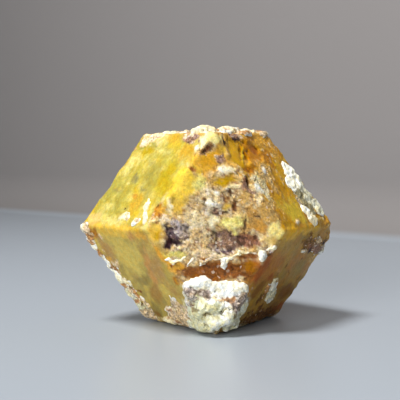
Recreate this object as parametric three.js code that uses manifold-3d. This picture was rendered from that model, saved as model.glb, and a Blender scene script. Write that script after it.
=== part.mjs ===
// Grossular garnet crystal: one loose rhombic dodecahedron with rough pale crust grown over it.
//
// Millimetres. +X runs to the right, +Y away from the front face and +Z up. The crystal stands on
// its bottom face, and the origin is on that face, straight below the crystal's centre.
//
// Everything is placed from the centre. A face is its outward direction and its reach, which is
// its distance from the centre. A feature on a face is placed by two distances on that face:
// across (to the right for someone who faces it) and up.

import * as THREE from 'three';
import { ConvexGeometry } from 'three/addons/geometries/ConvexGeometry.js';
import { mergeVertices } from 'three/addons/utils/BufferGeometryUtils.js';
import Module from 'manifold-3d';

const wasm = await Module();
wasm.setup();

// ---- Driving dimensions ------------------------------------------------------------------

const SIDEWAYS = Math.SQRT1_2; // how far a slanting face's direction leans left or right
const HALF = 0.5; // how far it leans to the front or back, and up or down

const FACES = {
  bottom: { normal: [0, 0, -1], reach: 17.0 },
  top: { normal: [0, 0, 1], reach: 17.7 },
  front: { normal: [0, -1, 0], reach: 17.0 },
  back: { normal: [0, 1, 0], reach: 17.0 },
  upperLeft: { normal: [-SIDEWAYS, -HALF, HALF], reach: 17.6 },
  upperRight: { normal: [SIDEWAYS, -HALF, HALF], reach: 17.0 },
  lowerLeft: { normal: [-SIDEWAYS, -HALF, -HALF], reach: 16.5 },
  lowerRight: { normal: [SIDEWAYS, -HALF, -HALF], reach: 16.3 },
  backUpperLeft: { normal: [-SIDEWAYS, HALF, HALF], reach: 17.5 },
  backUpperRight: { normal: [SIDEWAYS, HALF, HALF], reach: 15.6 },
  backLowerLeft: { normal: [-SIDEWAYS, HALF, -HALF], reach: 17.1 },
  backLowerRight: { normal: [SIDEWAYS, HALF, -HALF], reach: 18.3 },
};

// Lumps of crust: where they sit on a face, their half sizes across and up, how far they stand
// proud of it, and how far they are turned on it (degrees, anticlockwise).
const CRUST_LUMPS = [
  // thick crust over the lower front corner
  { face: 'front', at: [-1.9, -9.0], half: [3.5, 2.3], proud: 1.3, turn: 10 },
  { face: 'front', at: [3.3, -10.2], half: [2.7, 2.9], proud: 1.5, turn: 0 },
  { face: 'front', at: [-0.4, -12.8], half: [4.6, 3.2], proud: 1.8, turn: 0 },
  { face: 'lowerLeft', at: [8.6, -7.0], half: [3.2, 2.6], proud: 1.1, turn: 20 },
  { face: 'lowerRight', at: [-9.4, -6.8], half: [2.8, 2.6], proud: 1.1, turn: -20 },
  // foot of the lower left face
  { face: 'lowerLeft', at: [0.6, -8.4], half: [4.8, 1.5], proud: 0.7, turn: 0 },
  { face: 'lowerLeft', at: [6.6, -3.2], half: [1.1, 2.2], proud: 0.6, turn: 0 },
  // lower left edge
  { face: 'lowerLeft', at: [-12.0, 4.4], half: [1.1, 2.6], proud: 0.7, turn: 22 },
  { face: 'lowerLeft', at: [-10.9, -0.6], half: [1.3, 2.8], proud: 0.9, turn: 22 },
  { face: 'lowerLeft', at: [-9.0, -5.6], half: [1.4, 2.6], proud: 0.9, turn: 22 },
  // side corners
  { face: 'lowerLeft', at: [-12.2, 9.6], half: [1.6, 1.5], proud: 0.6, turn: 0 },
  { face: 'lowerRight', at: [8.6, 6.4], half: [2.4, 1.7], proud: 0.7, turn: 30 },
  // streak on the lower right face
  { face: 'lowerRight', at: [0.2, -3.0], half: [1.3, 2.6], proud: 0.6, turn: 12 },
  // rim of the top face
  { face: 'top', at: [-1.5, -13.0], half: [2.7, 2.4], proud: 1.5, turn: 0 },
  { face: 'top', at: [4.0, -8.9], half: [4.4, 2.5], proud: 1.4, turn: 55 },
  { face: 'top', at: [8.3, -3.4], half: [2.3, 1.7], proud: 0.9, turn: 55 },
  { face: 'top', at: [-6.0, -3.0], half: [3.2, 2.4], proud: 0.8, turn: -50 },
  // upper right edge
  { face: 'upperRight', at: [5.6, 0.6], half: [2.3, 3.8], proud: 0.8, turn: 15 },
  { face: 'upperRight', at: [8.2, -4.4], half: [1.7, 3.0], proud: 0.6, turn: 30 },
  // hidden side
  { face: 'back', at: [-3.6, -7.0], half: [5.4, 4.2], proud: 1.1, turn: 15 },
  { face: 'backLowerRight', at: [5.4, -4.0], half: [4.2, 3.4], proud: 0.9, turn: 30 },
  { face: 'backUpperLeft', at: [6.2, 1.8], half: [1.8, 4.2], proud: 0.8, turn: 20 },
  { face: 'backUpperRight', at: [-2.0, -5.5], half: [3.6, 2.0], proud: 0.6, turn: -10 },
];

// Shallow pits and conchoidal chips, placed in the same way. Here deep is their depth.
const PITS = [
  { face: 'front', at: [-6.4, 0.6], half: [2.5, 2.9], deep: 1.1, turn: -15 },
  { face: 'front', at: [4.0, -0.8], half: [3.9, 1.8], deep: 0.9, turn: 0 },
  { face: 'front', at: [-2.4, 11.6], half: [2.3, 3.2], deep: 0.5, turn: -20 },
  { face: 'front', at: [1.4, 5.6], half: [4.2, 3.0], deep: 0.6, turn: 10 },
  { face: 'upperRight', at: [-10.4, 6.4], half: [2.6, 3.6], deep: 0.9, turn: 30 },
  { face: 'back', at: [5.0, 4.6], half: [3.4, 2.6], deep: 1.0, turn: 25 },
  { face: 'backUpperLeft', at: [-3.4, -3.6], half: [2.6, 2.0], deep: 0.6, turn: 0 },
];

const LUMP_UNEVENNESS = 0.22; // share of a lump's radius by which its surface wanders
const PIT_UNEVENNESS = 0.14;
const LUMP_FLATNESS = 0.62; // power on a lump's height: 1 is a round pebble, 0 a flat-topped slab
const PIT_FLATNESS = 0.85;
const LARGE_LUMP = 6; // mm, summed half sizes from which a lump gets the finer mesh
const OUTER_BOX = 80; // mm, wider than the crystal with its crust
const SAME_POINT = 1e-4; // mm, points closer than this are one point

// ---- Faces and their own axes ------------------------------------------------------------

const faceNormal = (name) => new THREE.Vector3(...FACES[name].normal).normalize();

function faceAxes(name) {
  const normal = faceNormal(name);
  const across = new THREE.Vector3(0, 0, 1).cross(normal);
  if (across.lengthSq() < SAME_POINT) {
    across.set(1, 0, 0);
  }
  across.normalize();
  const up = new THREE.Vector3().crossVectors(normal, across);
  return { across, up, normal };
}

// Takes a shape whose own x, y and z are across, up and outwards to its place on a face.
function placeOnFace(geometry, { face, at, turn }) {
  const { across, up, normal } = faceAxes(face);
  const origin = normal.clone().multiplyScalar(FACES[face].reach);
  origin.addScaledVector(across, at[0]);
  origin.addScaledVector(up, at[1]);
  const place = new THREE.Matrix4().makeBasis(across, up, normal).setPosition(origin);
  place.multiply(new THREE.Matrix4().makeRotationZ(THREE.MathUtils.degToRad(turn)));
  return geometry.applyMatrix4(place);
}

// ---- Solids ------------------------------------------------------------------------------

function toSolid(geometry) {
  geometry.deleteAttribute('normal');
  geometry.deleteAttribute('uv');
  const merged = mergeVertices(geometry, SAME_POINT);
  return new wasm.Manifold(
    new wasm.Mesh({
      numProp: 3,
      vertProperties: merged.attributes.position.array,
      triVerts: Uint32Array.from(merged.index.array),
    }),
  );
}

function toGeometry(solid) {
  const mesh = solid.getMesh();
  const geometry = new THREE.BufferGeometry();
  geometry.setAttribute('position', new THREE.BufferAttribute(mesh.vertProperties, 3));
  geometry.setIndex(new THREE.BufferAttribute(mesh.triVerts, 1));
  geometry.computeVertexNormals();
  return geometry;
}

// The corners of the solid that the faces enclose: each point where three faces meet that no
// other face cuts off.
function cornerPoints() {
  const planes = Object.keys(FACES).map((name) => ({
    normal: faceNormal(name),
    reach: FACES[name].reach,
  }));
  const corners = [];
  for (let i = 0; i < planes.length; i += 1) {
    for (let j = i + 1; j < planes.length; j += 1) {
      for (let k = j + 1; k < planes.length; k += 1) {
        const point = meetingPoint(planes[i], planes[j], planes[k]);
        if (point && planes.every((p) => p.normal.dot(point) <= p.reach + SAME_POINT)) {
          corners.push(point);
        }
      }
    }
  }
  return corners;
}

function meetingPoint(a, b, c) {
  const triple = a.normal.dot(new THREE.Vector3().crossVectors(b.normal, c.normal));
  if (Math.abs(triple) < SAME_POINT) {
    return null;
  }
  const point = new THREE.Vector3();
  point.addScaledVector(new THREE.Vector3().crossVectors(b.normal, c.normal), a.reach);
  point.addScaledVector(new THREE.Vector3().crossVectors(c.normal, a.normal), b.reach);
  point.addScaledVector(new THREE.Vector3().crossVectors(a.normal, b.normal), c.reach);
  return point.divideScalar(triple);
}

// A swell between about -1 and 1 over a ball, different for each phase.
function swell(direction, phase) {
  const first = Math.sin(4.1 * direction.x + 2.7 * direction.y + phase);
  const second = Math.sin(6.3 * direction.y - 3.2 * direction.z + 2.0 * phase);
  const third = Math.sin(7.2 * direction.z + 5.7 * direction.x + 3.0 * phase);
  return (first + second + third) / 3;
}

// An uneven slab with rounded rims, centred on its own origin.
function slab({ halfAcross, halfUp, halfOut, unevenness, flatness, phase }) {
  const detail = halfAcross + halfUp > LARGE_LUMP ? 3 : 2;
  const ball = new THREE.IcosahedronGeometry(1, detail);
  const points = ball.attributes.position;
  const direction = new THREE.Vector3();
  for (let i = 0; i < points.count; i += 1) {
    direction.fromBufferAttribute(points, i);
    const stretch = 1 + unevenness * swell(direction, phase);
    const height = Math.sign(direction.z) * Math.abs(direction.z) ** flatness;
    points.setXYZ(
      i,
      direction.x * halfAcross * stretch,
      direction.y * halfUp * stretch,
      height * halfOut * (0.5 + 0.5 * stretch),
    );
  }
  return ball;
}

function lumpSolid(lump, phase) {
  const [halfAcross, halfUp] = lump.half;
  const halfOut = lump.proud;
  const unevenness = LUMP_UNEVENNESS;
  const flatness = LUMP_FLATNESS;
  const shape = slab({ halfAcross, halfUp, halfOut, unevenness, flatness, phase });
  return toSolid(placeOnFace(shape, lump));
}

function pitSolid(pit, phase) {
  const [halfAcross, halfUp] = pit.half;
  const halfOut = pit.deep;
  const unevenness = PIT_UNEVENNESS;
  const flatness = PIT_FLATNESS;
  const shape = slab({ halfAcross, halfUp, halfOut, unevenness, flatness, phase });
  return toSolid(placeOnFace(shape, pit));
}

// Everything above the plane of the bottom face, so that the crystal rests flat on it.
function aboveRestingPlane() {
  const box = new THREE.BoxGeometry(OUTER_BOX, OUTER_BOX, OUTER_BOX);
  box.translate(0, 0, OUTER_BOX / 2 - FACES.bottom.reach);
  return toSolid(box);
}

function garnetCrystal() {
  let solid = toSolid(new ConvexGeometry(cornerPoints()));
  PITS.forEach((pit, index) => {
    solid = solid.subtract(pitSolid(pit, index));
  });
  CRUST_LUMPS.forEach((lump, index) => {
    solid = solid.add(lumpSolid(lump, index));
  });
  return solid.intersect(aboveRestingPlane());
}

// ---- The object --------------------------------------------------------------------------

const crystal = new THREE.Mesh(
  toGeometry(garnetCrystal()),
  new THREE.MeshStandardMaterial({ color: 0xa8842c, roughness: 0.5, metalness: 0 }),
);
crystal.name = 'garnet_crystal';
crystal.position.z = FACES.bottom.reach;

const specimen = new THREE.Group();
specimen.add(crystal);

export default specimen;
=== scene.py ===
"""Grossular garnet crystal: one loose rhombic dodecahedron, cloudy lemon to amber, with rough
pale crust grown over its edges.

Shapes are worked out in millimetres from the crystal's centre, and put in the frame's own metres
when a piece is finished. A face is an outward direction and a reach, which is its distance from
the centre. A feature on a face is placed by two distances on it: across (to the right for someone
who faces it) and up. Tables say what lies on each face: its base finish, cloudy veils, patches,
and the lumps of crust. The shapes are then grown from fields, and painted point by point.
"""
import math
from collections import namedtuple

import bpy
import numpy as np
from mathutils import Matrix, Vector


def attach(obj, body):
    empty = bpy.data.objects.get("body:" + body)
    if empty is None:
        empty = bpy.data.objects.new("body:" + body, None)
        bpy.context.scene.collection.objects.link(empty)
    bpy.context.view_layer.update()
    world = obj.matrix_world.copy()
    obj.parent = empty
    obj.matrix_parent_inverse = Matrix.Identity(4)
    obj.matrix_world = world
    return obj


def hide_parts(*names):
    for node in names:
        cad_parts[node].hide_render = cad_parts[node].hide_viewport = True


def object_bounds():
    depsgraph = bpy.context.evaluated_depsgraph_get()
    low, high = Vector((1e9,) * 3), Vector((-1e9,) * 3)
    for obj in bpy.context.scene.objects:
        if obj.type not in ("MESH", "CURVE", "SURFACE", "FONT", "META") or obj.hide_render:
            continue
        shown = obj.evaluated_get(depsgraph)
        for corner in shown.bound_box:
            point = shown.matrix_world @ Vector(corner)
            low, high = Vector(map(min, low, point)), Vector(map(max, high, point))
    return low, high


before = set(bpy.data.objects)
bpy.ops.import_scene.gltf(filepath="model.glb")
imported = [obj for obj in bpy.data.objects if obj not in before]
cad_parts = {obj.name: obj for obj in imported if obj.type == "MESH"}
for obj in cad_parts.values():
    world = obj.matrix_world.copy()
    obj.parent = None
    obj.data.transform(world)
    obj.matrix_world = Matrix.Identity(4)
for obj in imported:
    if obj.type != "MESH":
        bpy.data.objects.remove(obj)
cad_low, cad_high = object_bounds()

# ---- Sizes -----------------------------------------------------------------------------------

MM = 0.001
CENTRE_HEIGHT = 17.0  # mm, the crystal's centre above the face that it rests on
BODY_VOXEL = 0.28  # mm, spacing of the crystal's surface
SPECK_POINTS = 34  # a loose bit of crust with fewer points than this is left out
SEED_STEP = np.array((37.1, 17.3, 71.9))  # how far apart two seeds look in the same noise
SIDEWAYS = math.sqrt(0.5)  # how far a slanting face's direction leans left or right
SAME_DIRECTION = 0.9999  # two directions whose product is more than this count as one

DIRECTIONS = {
    "top": (0, 0, 1),
    "front": (0, -1, 0),
    "back": (0, 1, 0),
    "upper_left": (-SIDEWAYS, -0.5, 0.5),
    "upper_right": (SIDEWAYS, -0.5, 0.5),
    "lower_left": (-SIDEWAYS, -0.5, -0.5),
    "lower_right": (SIDEWAYS, -0.5, -0.5),
    "back_upper_left": (-SIDEWAYS, 0.5, 0.5),
    "back_upper_right": (SIDEWAYS, 0.5, 0.5),
    "back_lower_left": (-SIDEWAYS, 0.5, -0.5),
    "back_lower_right": (SIDEWAYS, 0.5, -0.5),
    "bottom": (0, 0, -1),
}


class Face:
    """One flat face of the crystal, at the reach that the CAD crystal gives it."""

    def __init__(self, direction, cad_mesh):
        self.normal = np.array(direction, float)
        across = np.cross((0, 0, 1), self.normal)
        if np.linalg.norm(across) < 0.01:
            across = np.array((1.0, 0, 0))
        self.across = across / np.linalg.norm(across)
        self.up = np.cross(self.normal, self.across)
        self.reach = self.measured_reach(cad_mesh)

    def measured_reach(self, cad_mesh):
        """The distance of the largest flat area that faces this way, in mm from the centre."""
        centre = Vector((0, 0, CENTRE_HEIGHT))
        normal = Vector(self.normal)
        areas = {}
        for polygon in cad_mesh.polygons:
            if polygon.normal.dot(normal) > SAME_DIRECTION:
                reach = round((polygon.center / MM - centre).dot(normal), 1)
                areas[reach] = areas.get(reach, 0) + polygon.area
        return max(areas, key=areas.get)

    def point(self, across, up):
        """A place on the face, in mm from the crystal's centre."""
        return self.normal * self.reach + self.across * across + self.up * up

    def turned_axes(self, degrees):
        """The face's across and up, turned anticlockwise on it."""
        turn = math.radians(degrees)
        across = self.across * math.cos(turn) + self.up * math.sin(turn)
        up = self.up * math.cos(turn) - self.across * math.sin(turn)
        return across, up


cad_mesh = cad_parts["garnet_crystal"].data
FACES = {name: Face(direction, cad_mesh) for name, direction in DIRECTIONS.items()}


# ---- Node trees written as arithmetic --------------------------------------------------------


class Field:
    """One output in a node tree. Arithmetic on it adds the maths nodes that do it."""

    def __init__(self, graph, socket):
        self.graph = graph
        self.socket = socket
        self.vector = socket.type in ("VECTOR", "RGBA")

    def _maths(self, operation, *values):
        vector = any(getattr(value, "vector", False) for value in values)
        return self.graph.maths(operation, values, vector)

    def __add__(self, other):
        return self._maths("ADD", self, other)

    def __sub__(self, other):
        return self._maths("SUBTRACT", self, other)

    def __rsub__(self, other):
        return self._maths("SUBTRACT", other, self)

    def __mul__(self, other):
        return self._maths("MULTIPLY", self, other)

    def __truediv__(self, other):
        return self._maths("DIVIDE", self, other)

    def __neg__(self):
        return self * -1.0

    __radd__ = __add__

    def dot(self, direction):
        return self.graph.maths("DOT_PRODUCT", (self, direction), True, "Value")

    def scaled(self, factor):
        inputs = {0: self, "Scale": factor}
        return self.graph.node("ShaderNodeVectorMath", inputs, operation="SCALE")

    def higher(self, other, rounding):
        """The larger of the two, with the fold between them rounded."""
        return self._maths("SMOOTH_MAX", self, other, rounding)

    def lower(self, other, rounding):
        return self._maths("SMOOTH_MIN", self, other, rounding)

    def span(self, low, high, to_low=0.0, to_high=1.0):
        """This value's place between low and high, carried smoothly to another span."""
        inputs = {"Value": self, "From Min": low, "From Max": high}
        inputs.update({"To Min": to_low, "To Max": to_high})
        return self.graph.node("ShaderNodeMapRange", inputs, interpolation_type="SMOOTHSTEP")


class Graph:
    """A node tree under construction."""

    def __init__(self, tree):
        self.tree = tree

    def node(self, kind, inputs=None, output=0, **settings):
        node = self.tree.nodes.new(kind)
        for name, value in settings.items():
            setattr(node, name, value)
        for name, value in (inputs or {}).items():
            self.feed(node.inputs[name], value)
        return Field(self, node.outputs[output])

    def feed(self, socket, value):
        if isinstance(value, Field):
            self.tree.links.new(value.socket, socket)
        else:
            socket.default_value = value

    def maths(self, operation, values, vector, output=0):
        kind = "ShaderNodeVectorMath" if vector else "ShaderNodeMath"
        inputs = {}
        for index, value in enumerate(values):
            if vector and isinstance(value, (int, float)):
                value = (value, value, value)
            inputs[index] = tuple(value) if isinstance(value, np.ndarray) else value
        return self.node(kind, inputs, output, operation=operation)

    def noise(self, place, cell, detail=2.0, roughness=0.5, seed=0.0):
        """Cloudy noise from 0 to 1, with clouds about as wide as cell."""
        inputs = {"Vector": place + SEED_STEP * seed, "Scale": 1.0 / cell}
        inputs.update({"Detail": detail, "Roughness": roughness})
        return self.node("ShaderNodeTexNoise", inputs)

    def noise_vector(self, place, cell, seed=0.0):
        """Cloudy noise from 0 to 1 in each of three directions."""
        inputs = {"Vector": place + SEED_STEP * seed, "Scale": 1.0 / cell, "Detail": 1.0}
        return self.node("ShaderNodeTexNoise", inputs, "Color")

    def cells(self, place, cell, output="Distance", seed=0.0):
        """How far a place is from the middle of its cell, or with output "Color" a random
        colour for the cell, for cells about as wide as cell."""
        inputs = {"Vector": place + SEED_STEP * seed, "Scale": 1.0 / cell}
        return self.node("ShaderNodeTexVoronoi", inputs, output)

    def mixed(self, factor, first, second, blend="MIX"):
        """Two colours mixed. The node's sockets for colours come after those for numbers."""
        node = self.tree.nodes.new("ShaderNodeMix")
        node.data_type = "RGBA"
        node.blend_type = blend
        self.feed(node.inputs[0], factor)
        self.feed(node.inputs[6], first)
        self.feed(node.inputs[7], second)
        return Field(self, node.outputs[2])


def geometry_graph(name, defaults):
    """A Geometry Nodes tree with these named number inputs. Gives its graph and input fields."""
    tree = bpy.data.node_groups.new(name, "GeometryNodeTree")
    tree.interface.new_socket(name="Geometry", in_out="INPUT", socket_type="NodeSocketGeometry")
    tree.interface.new_socket(name="Geometry", in_out="OUTPUT", socket_type="NodeSocketGeometry")
    for label, default in defaults.items():
        number = {"in_out": "INPUT", "socket_type": "NodeSocketFloat"}
        tree.interface.new_socket(name=label, **number).default_value = default
    graph = Graph(tree)
    entry = tree.nodes.new("NodeGroupInput")
    fields = {label: Field(graph, entry.outputs[label]) for label in ["Geometry", *defaults]}
    return graph, fields


def close_geometry_graph(graph, geometry, material):
    """Ends a tree as every tree here ends: instances made real, and a material set."""
    real = graph.node("GeometryNodeRealizeInstances", {"Geometry": geometry})
    finished = graph.node("GeometryNodeSetMaterial", {"Geometry": real, "Material": material})
    exit_node = graph.tree.nodes.new("NodeGroupOutput")
    graph.tree.links.new(finished.socket, exit_node.inputs[0])


def grown(name, tree, values=None, base=None):
    """The plain mesh object that a Geometry Nodes tree grows, from a base mesh or from nothing."""
    mesh = base.data.copy() if base else bpy.data.meshes.new(name + "_seed")
    host = bpy.data.objects.new(name + "_host", mesh)
    bpy.context.collection.objects.link(host)
    modifier = host.modifiers.new("growth", "NODES")
    modifier.node_group = tree
    for item in tree.interface.items_tree:
        if item.in_out == "INPUT" and values and item.name in values:
            modifier[item.identifier] = values[item.name]
    evaluated = host.evaluated_get(bpy.context.evaluated_depsgraph_get())
    plain = bpy.data.meshes.new_from_object(evaluated)
    host.modifiers.remove(modifier)
    bpy.data.objects.remove(host)
    piece = bpy.data.objects.new(name, plain)
    bpy.context.collection.objects.link(piece)
    return piece


# ---- Noise over points -----------------------------------------------------------------------

CELL_PRIMES = [np.uint64(prime) for prime in (73856093, 19349663, 83492791)]
SCRAMBLES = ((13, 0x9E3779B97F4A7C15), (29, 0xBF58476D1CE4E5B9))  # a shift and a factor each
LOW_BITS = np.uint64(0xFFFFFF)  # the part of a scrambled number that is kept


def lattice_values(cells, seed):
    """A fixed random number from 0 to 1 for each whole-numbered cell."""
    with np.errstate(over="ignore"):
        whole = cells.astype(np.int64).astype(np.uint64)
        mixed = whole[..., 0] * CELL_PRIMES[0] ^ whole[..., 1] * CELL_PRIMES[1]
        mixed = mixed ^ whole[..., 2] * CELL_PRIMES[2] ^ np.uint64(seed * 2654435 + 97)
        for shift, factor in SCRAMBLES:
            mixed = (mixed ^ (mixed >> np.uint64(shift))) * np.uint64(factor)
        mixed = mixed ^ (mixed >> np.uint64(32))
    return (mixed & LOW_BITS).astype(float) / float(LOW_BITS)


def smooth_noise(points, cell, seed):
    """Smooth noise from -1 to 1 with bumps about as wide as cell."""
    scaled = points / cell + 0.37 * seed
    low = np.floor(scaled)
    part = scaled - low
    part = part * part * (3 - 2 * part)
    total = np.zeros(len(points))
    for corner in np.ndindex(2, 2, 2):
        corner = np.array(corner)
        weight = np.where(corner == 1, part, 1 - part).prod(axis=1)
        total += weight * lattice_values(low + corner, seed)
    return total * 2 - 1


def cloud(points, cell, seed, octaves=4, fade=0.5):
    """Several sizes of smooth noise together, from about -1 to 1."""
    total = np.zeros(len(points))
    reach = 0.0
    for octave in range(octaves):
        share = fade**octave
        total += share * smooth_noise(points, cell / 2**octave, seed + 11 * octave)
        reach += share
    return total / reach * 1.5


def grains(points, cell, seed):
    """For grains about as wide as cell: how far each point is from the joint between two grains,
    and a random shade from 0 to 1 for its grain."""
    scaled = points / cell
    low = np.floor(scaled)
    nearest = np.full(len(points), 9.0)
    second = np.full(len(points), 9.0)
    shade = np.zeros(len(points))
    for offset in np.ndindex(3, 3, 3):
        corner = low + np.array(offset) - 1
        middle = np.stack([lattice_values(corner, seed + k) for k in (1, 2, 3)], axis=1) + corner
        distance = np.linalg.norm(scaled - middle, axis=1)
        closer = distance < nearest
        second = np.where(closer, nearest, np.minimum(second, distance))
        shade = np.where(closer, lattice_values(corner, seed + 4), shade)
        nearest = np.where(closer, distance, nearest)
    return second - nearest, shade


def step(low, high, value):
    """0 below low, 1 above high, smooth between."""
    part = np.clip((value - low) / (high - low), 0, 1)
    return part * part * (3 - 2 * part)


# ---- Finishes and where they lie -------------------------------------------------------------

# tint as red, green, blue from 0 to 255; grain is how far grains stand out in mm; speckle is how
# strongly single grains differ in shade
Finish = namedtuple("Finish", "tint roughness grain speckle")

FINISHES = {
    # smooth yellow garnet of the upper left
    "lemon": Finish((176, 158, 62), 0.40, 0.02, 0.10),
    "bright_yellow": Finish((194, 164, 42), 0.40, 0.02, 0.12),
    "pale_yellow": Finish((202, 184, 104), 0.48, 0.02, 0.14),
    "green_yellow": Finish((162, 150, 66), 0.38, 0.02, 0.10),
    "olive": Finish((150, 136, 58), 0.38, 0.02, 0.08),
    "olive_grey": Finish((138, 126, 70), 0.45, 0.02, 0.12),
    "mustard": Finish((172, 146, 28), 0.36, 0.02, 0.10),
    "honey": Finish((186, 148, 46), 0.38, 0.02, 0.14),
    "peach": Finish((208, 174, 100), 0.50, 0.03, 0.12),
    "orange": Finish((186, 138, 48), 0.38, 0.03, 0.22),
    # garnet of the front
    "sun_yellow": Finish((218, 184, 62), 0.42, 0.02, 0.14),
    "gold": Finish((210, 170, 62), 0.42, 0.04, 0.20),
    "pale_gold": Finish((234, 214, 134), 0.50, 0.04, 0.16),
    "lime_cream": Finish((214, 199, 112), 0.50, 0.06, 0.30),
    "spall_orange": Finish((204, 150, 34), 0.26, 0.01, 0.16),
    "glass_mustard": Finish((196, 150, 14), 0.25, 0.02, 0.16),
    "amber_tan": Finish((190, 138, 60), 0.45, 0.05, 0.25),
    "apricot": Finish((200, 146, 50), 0.45, 0.04, 0.25),
    # honey garnet of the upper right
    "glass_olive": Finish((216, 160, 0), 0.15, 0.00, 0.05),
    "glass_amber": Finish((190, 122, 0), 0.15, 0.00, 0.06),
    "glass_dark": Finish((170, 96, 0), 0.18, 0.01, 0.10),
    "brown_amber": Finish((166, 104, 8), 0.35, 0.03, 0.20),
    "amber": Finish((188, 135, 8), 0.36, 0.03, 0.16),
    "deep_honey": Finish((200, 151, 22), 0.38, 0.03, 0.18),
    "tan_gold": Finish((206, 152, 56), 0.45, 0.05, 0.30),
    "russet": Finish((176, 116, 28), 0.42, 0.05, 0.30),
    "olive_gold": Finish((204, 172, 46), 0.38, 0.03, 0.14),
    "frost": Finish((232, 210, 160), 0.60, 0.09, 0.50),
    "tan_frost": Finish((216, 178, 118), 0.55, 0.08, 0.45),
    # waxy garnet of the lower left
    "wax_yellow": Finish((204, 177, 86), 0.38, 0.01, 0.07),
    "wax_olive": Finish((182, 158, 76), 0.38, 0.01, 0.07),
    "wax_gold": Finish((220, 178, 68), 0.38, 0.01, 0.10),
    "wax_dark": Finish((150, 130, 68), 0.38, 0.01, 0.07),
    "wax_brown": Finish((164, 126, 62), 0.40, 0.01, 0.08),
    "wax_tan": Finish((176, 138, 78), 0.40, 0.01, 0.08),
    "wax_pink": Finish((192, 142, 78), 0.40, 0.01, 0.08),
    "wax_orange": Finish((218, 160, 58), 0.42, 0.02, 0.14),
    # shaded garnet of the lower right
    "shade_gold": Finish((226, 172, 44), 0.38, 0.01, 0.08),
    "shade_olive": Finish((186, 144, 56), 0.36, 0.01, 0.08),
    "shade_grey": Finish((156, 128, 60), 0.38, 0.01, 0.08),
    "shade_brown": Finish((178, 116, 44), 0.38, 0.01, 0.10),
    "shade_red": Finish((160, 88, 36), 0.40, 0.02, 0.12),
    "shade_dark": Finish((138, 90, 28), 0.36, 0.01, 0.10),
    "shade_umber": Finish((122, 82, 44), 0.55, 0.06, 0.50),
    # rough garnet and dirt
    "sugar": Finish((196, 166, 120), 0.55, 0.09, 0.38),
    "sugar_pale": Finish((220, 198, 156), 0.60, 0.09, 0.40),
    "sugar_tan": Finish((184, 140, 76), 0.50, 0.08, 0.35),
    "sugar_gold": Finish((196, 156, 90), 0.50, 0.08, 0.35),
    "sugar_grey": Finish((190, 174, 150), 0.60, 0.10, 0.55),
    "brown_grit": Finish((142, 106, 66), 0.55, 0.10, 0.60),
    "rust": Finish((132, 78, 34), 0.50, 0.06, 0.35),
    "deep_rust": Finish((98, 50, 18), 0.55, 0.07, 0.40),
    "amber_band": Finish((142, 84, 16), 0.40, 0.05, 0.30),
    "umber": Finish((98, 66, 40), 0.60, 0.06, 0.45),
    "dark_umber": Finish((58, 38, 26), 0.65, 0.06, 0.40),
    "mauve": Finish((152, 118, 98), 0.60, 0.10, 0.55),
    "red_mauve": Finish((150, 102, 76), 0.60, 0.08, 0.45),
    "pink_grey": Finish((190, 170, 156), 0.60, 0.10, 0.60),
    "purple": Finish((98, 76, 78), 0.50, 0.10, 0.55),
    "dark_purple": Finish((66, 40, 44), 0.45, 0.07, 0.35),
    # thin crust on the crystal
    "cream": Finish((232, 217, 176), 0.75, 0.06, 0.25),
    "green_cream": Finish((214, 209, 170), 0.80, 0.05, 0.25),
    "pink_cream": Finish((224, 198, 162), 0.75, 0.07, 0.40),
    # thick crust
    "chalk": Finish((234, 230, 216), 0.85, 0.06, 0.16),
    "bright_chalk": Finish((250, 246, 228), 0.85, 0.04, 0.12),
    "bone": Finish((222, 216, 186), 0.85, 0.06, 0.30),
    "grey_crust": Finish((184, 170, 152), 0.85, 0.06, 0.70),
    "pink_crust": Finish((206, 180, 144), 0.80, 0.06, 0.65),
    # painted shade: the grey of the shadows in the crust's pores
    "pore_grey": Finish((166, 146, 132), 0.85, 0.06, 0.80),
    "olive_crust": Finish((156, 144, 108), 0.80, 0.06, 0.45),
    "tan_crust": Finish((180, 134, 94), 0.75, 0.06, 0.40),
    "rusty_crust": Finish((186, 138, 88), 0.70, 0.06, 0.65),
}

# The finish of each face, under all that is laid on it
BASES = {
    "front": "sugar",
    "upper_left": "lemon",
    "upper_right": "deep_honey",
    "lower_left": "wax_olive",
    "lower_right": "shade_olive",
    "top": "honey",
    "back": "wax_tan",
    "back_upper_left": "green_yellow",
    "back_upper_right": "deep_honey",
    "back_lower_left": "wax_olive",
    "back_lower_right": "shade_olive",
    "bottom": "wax_tan",
}

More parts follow.
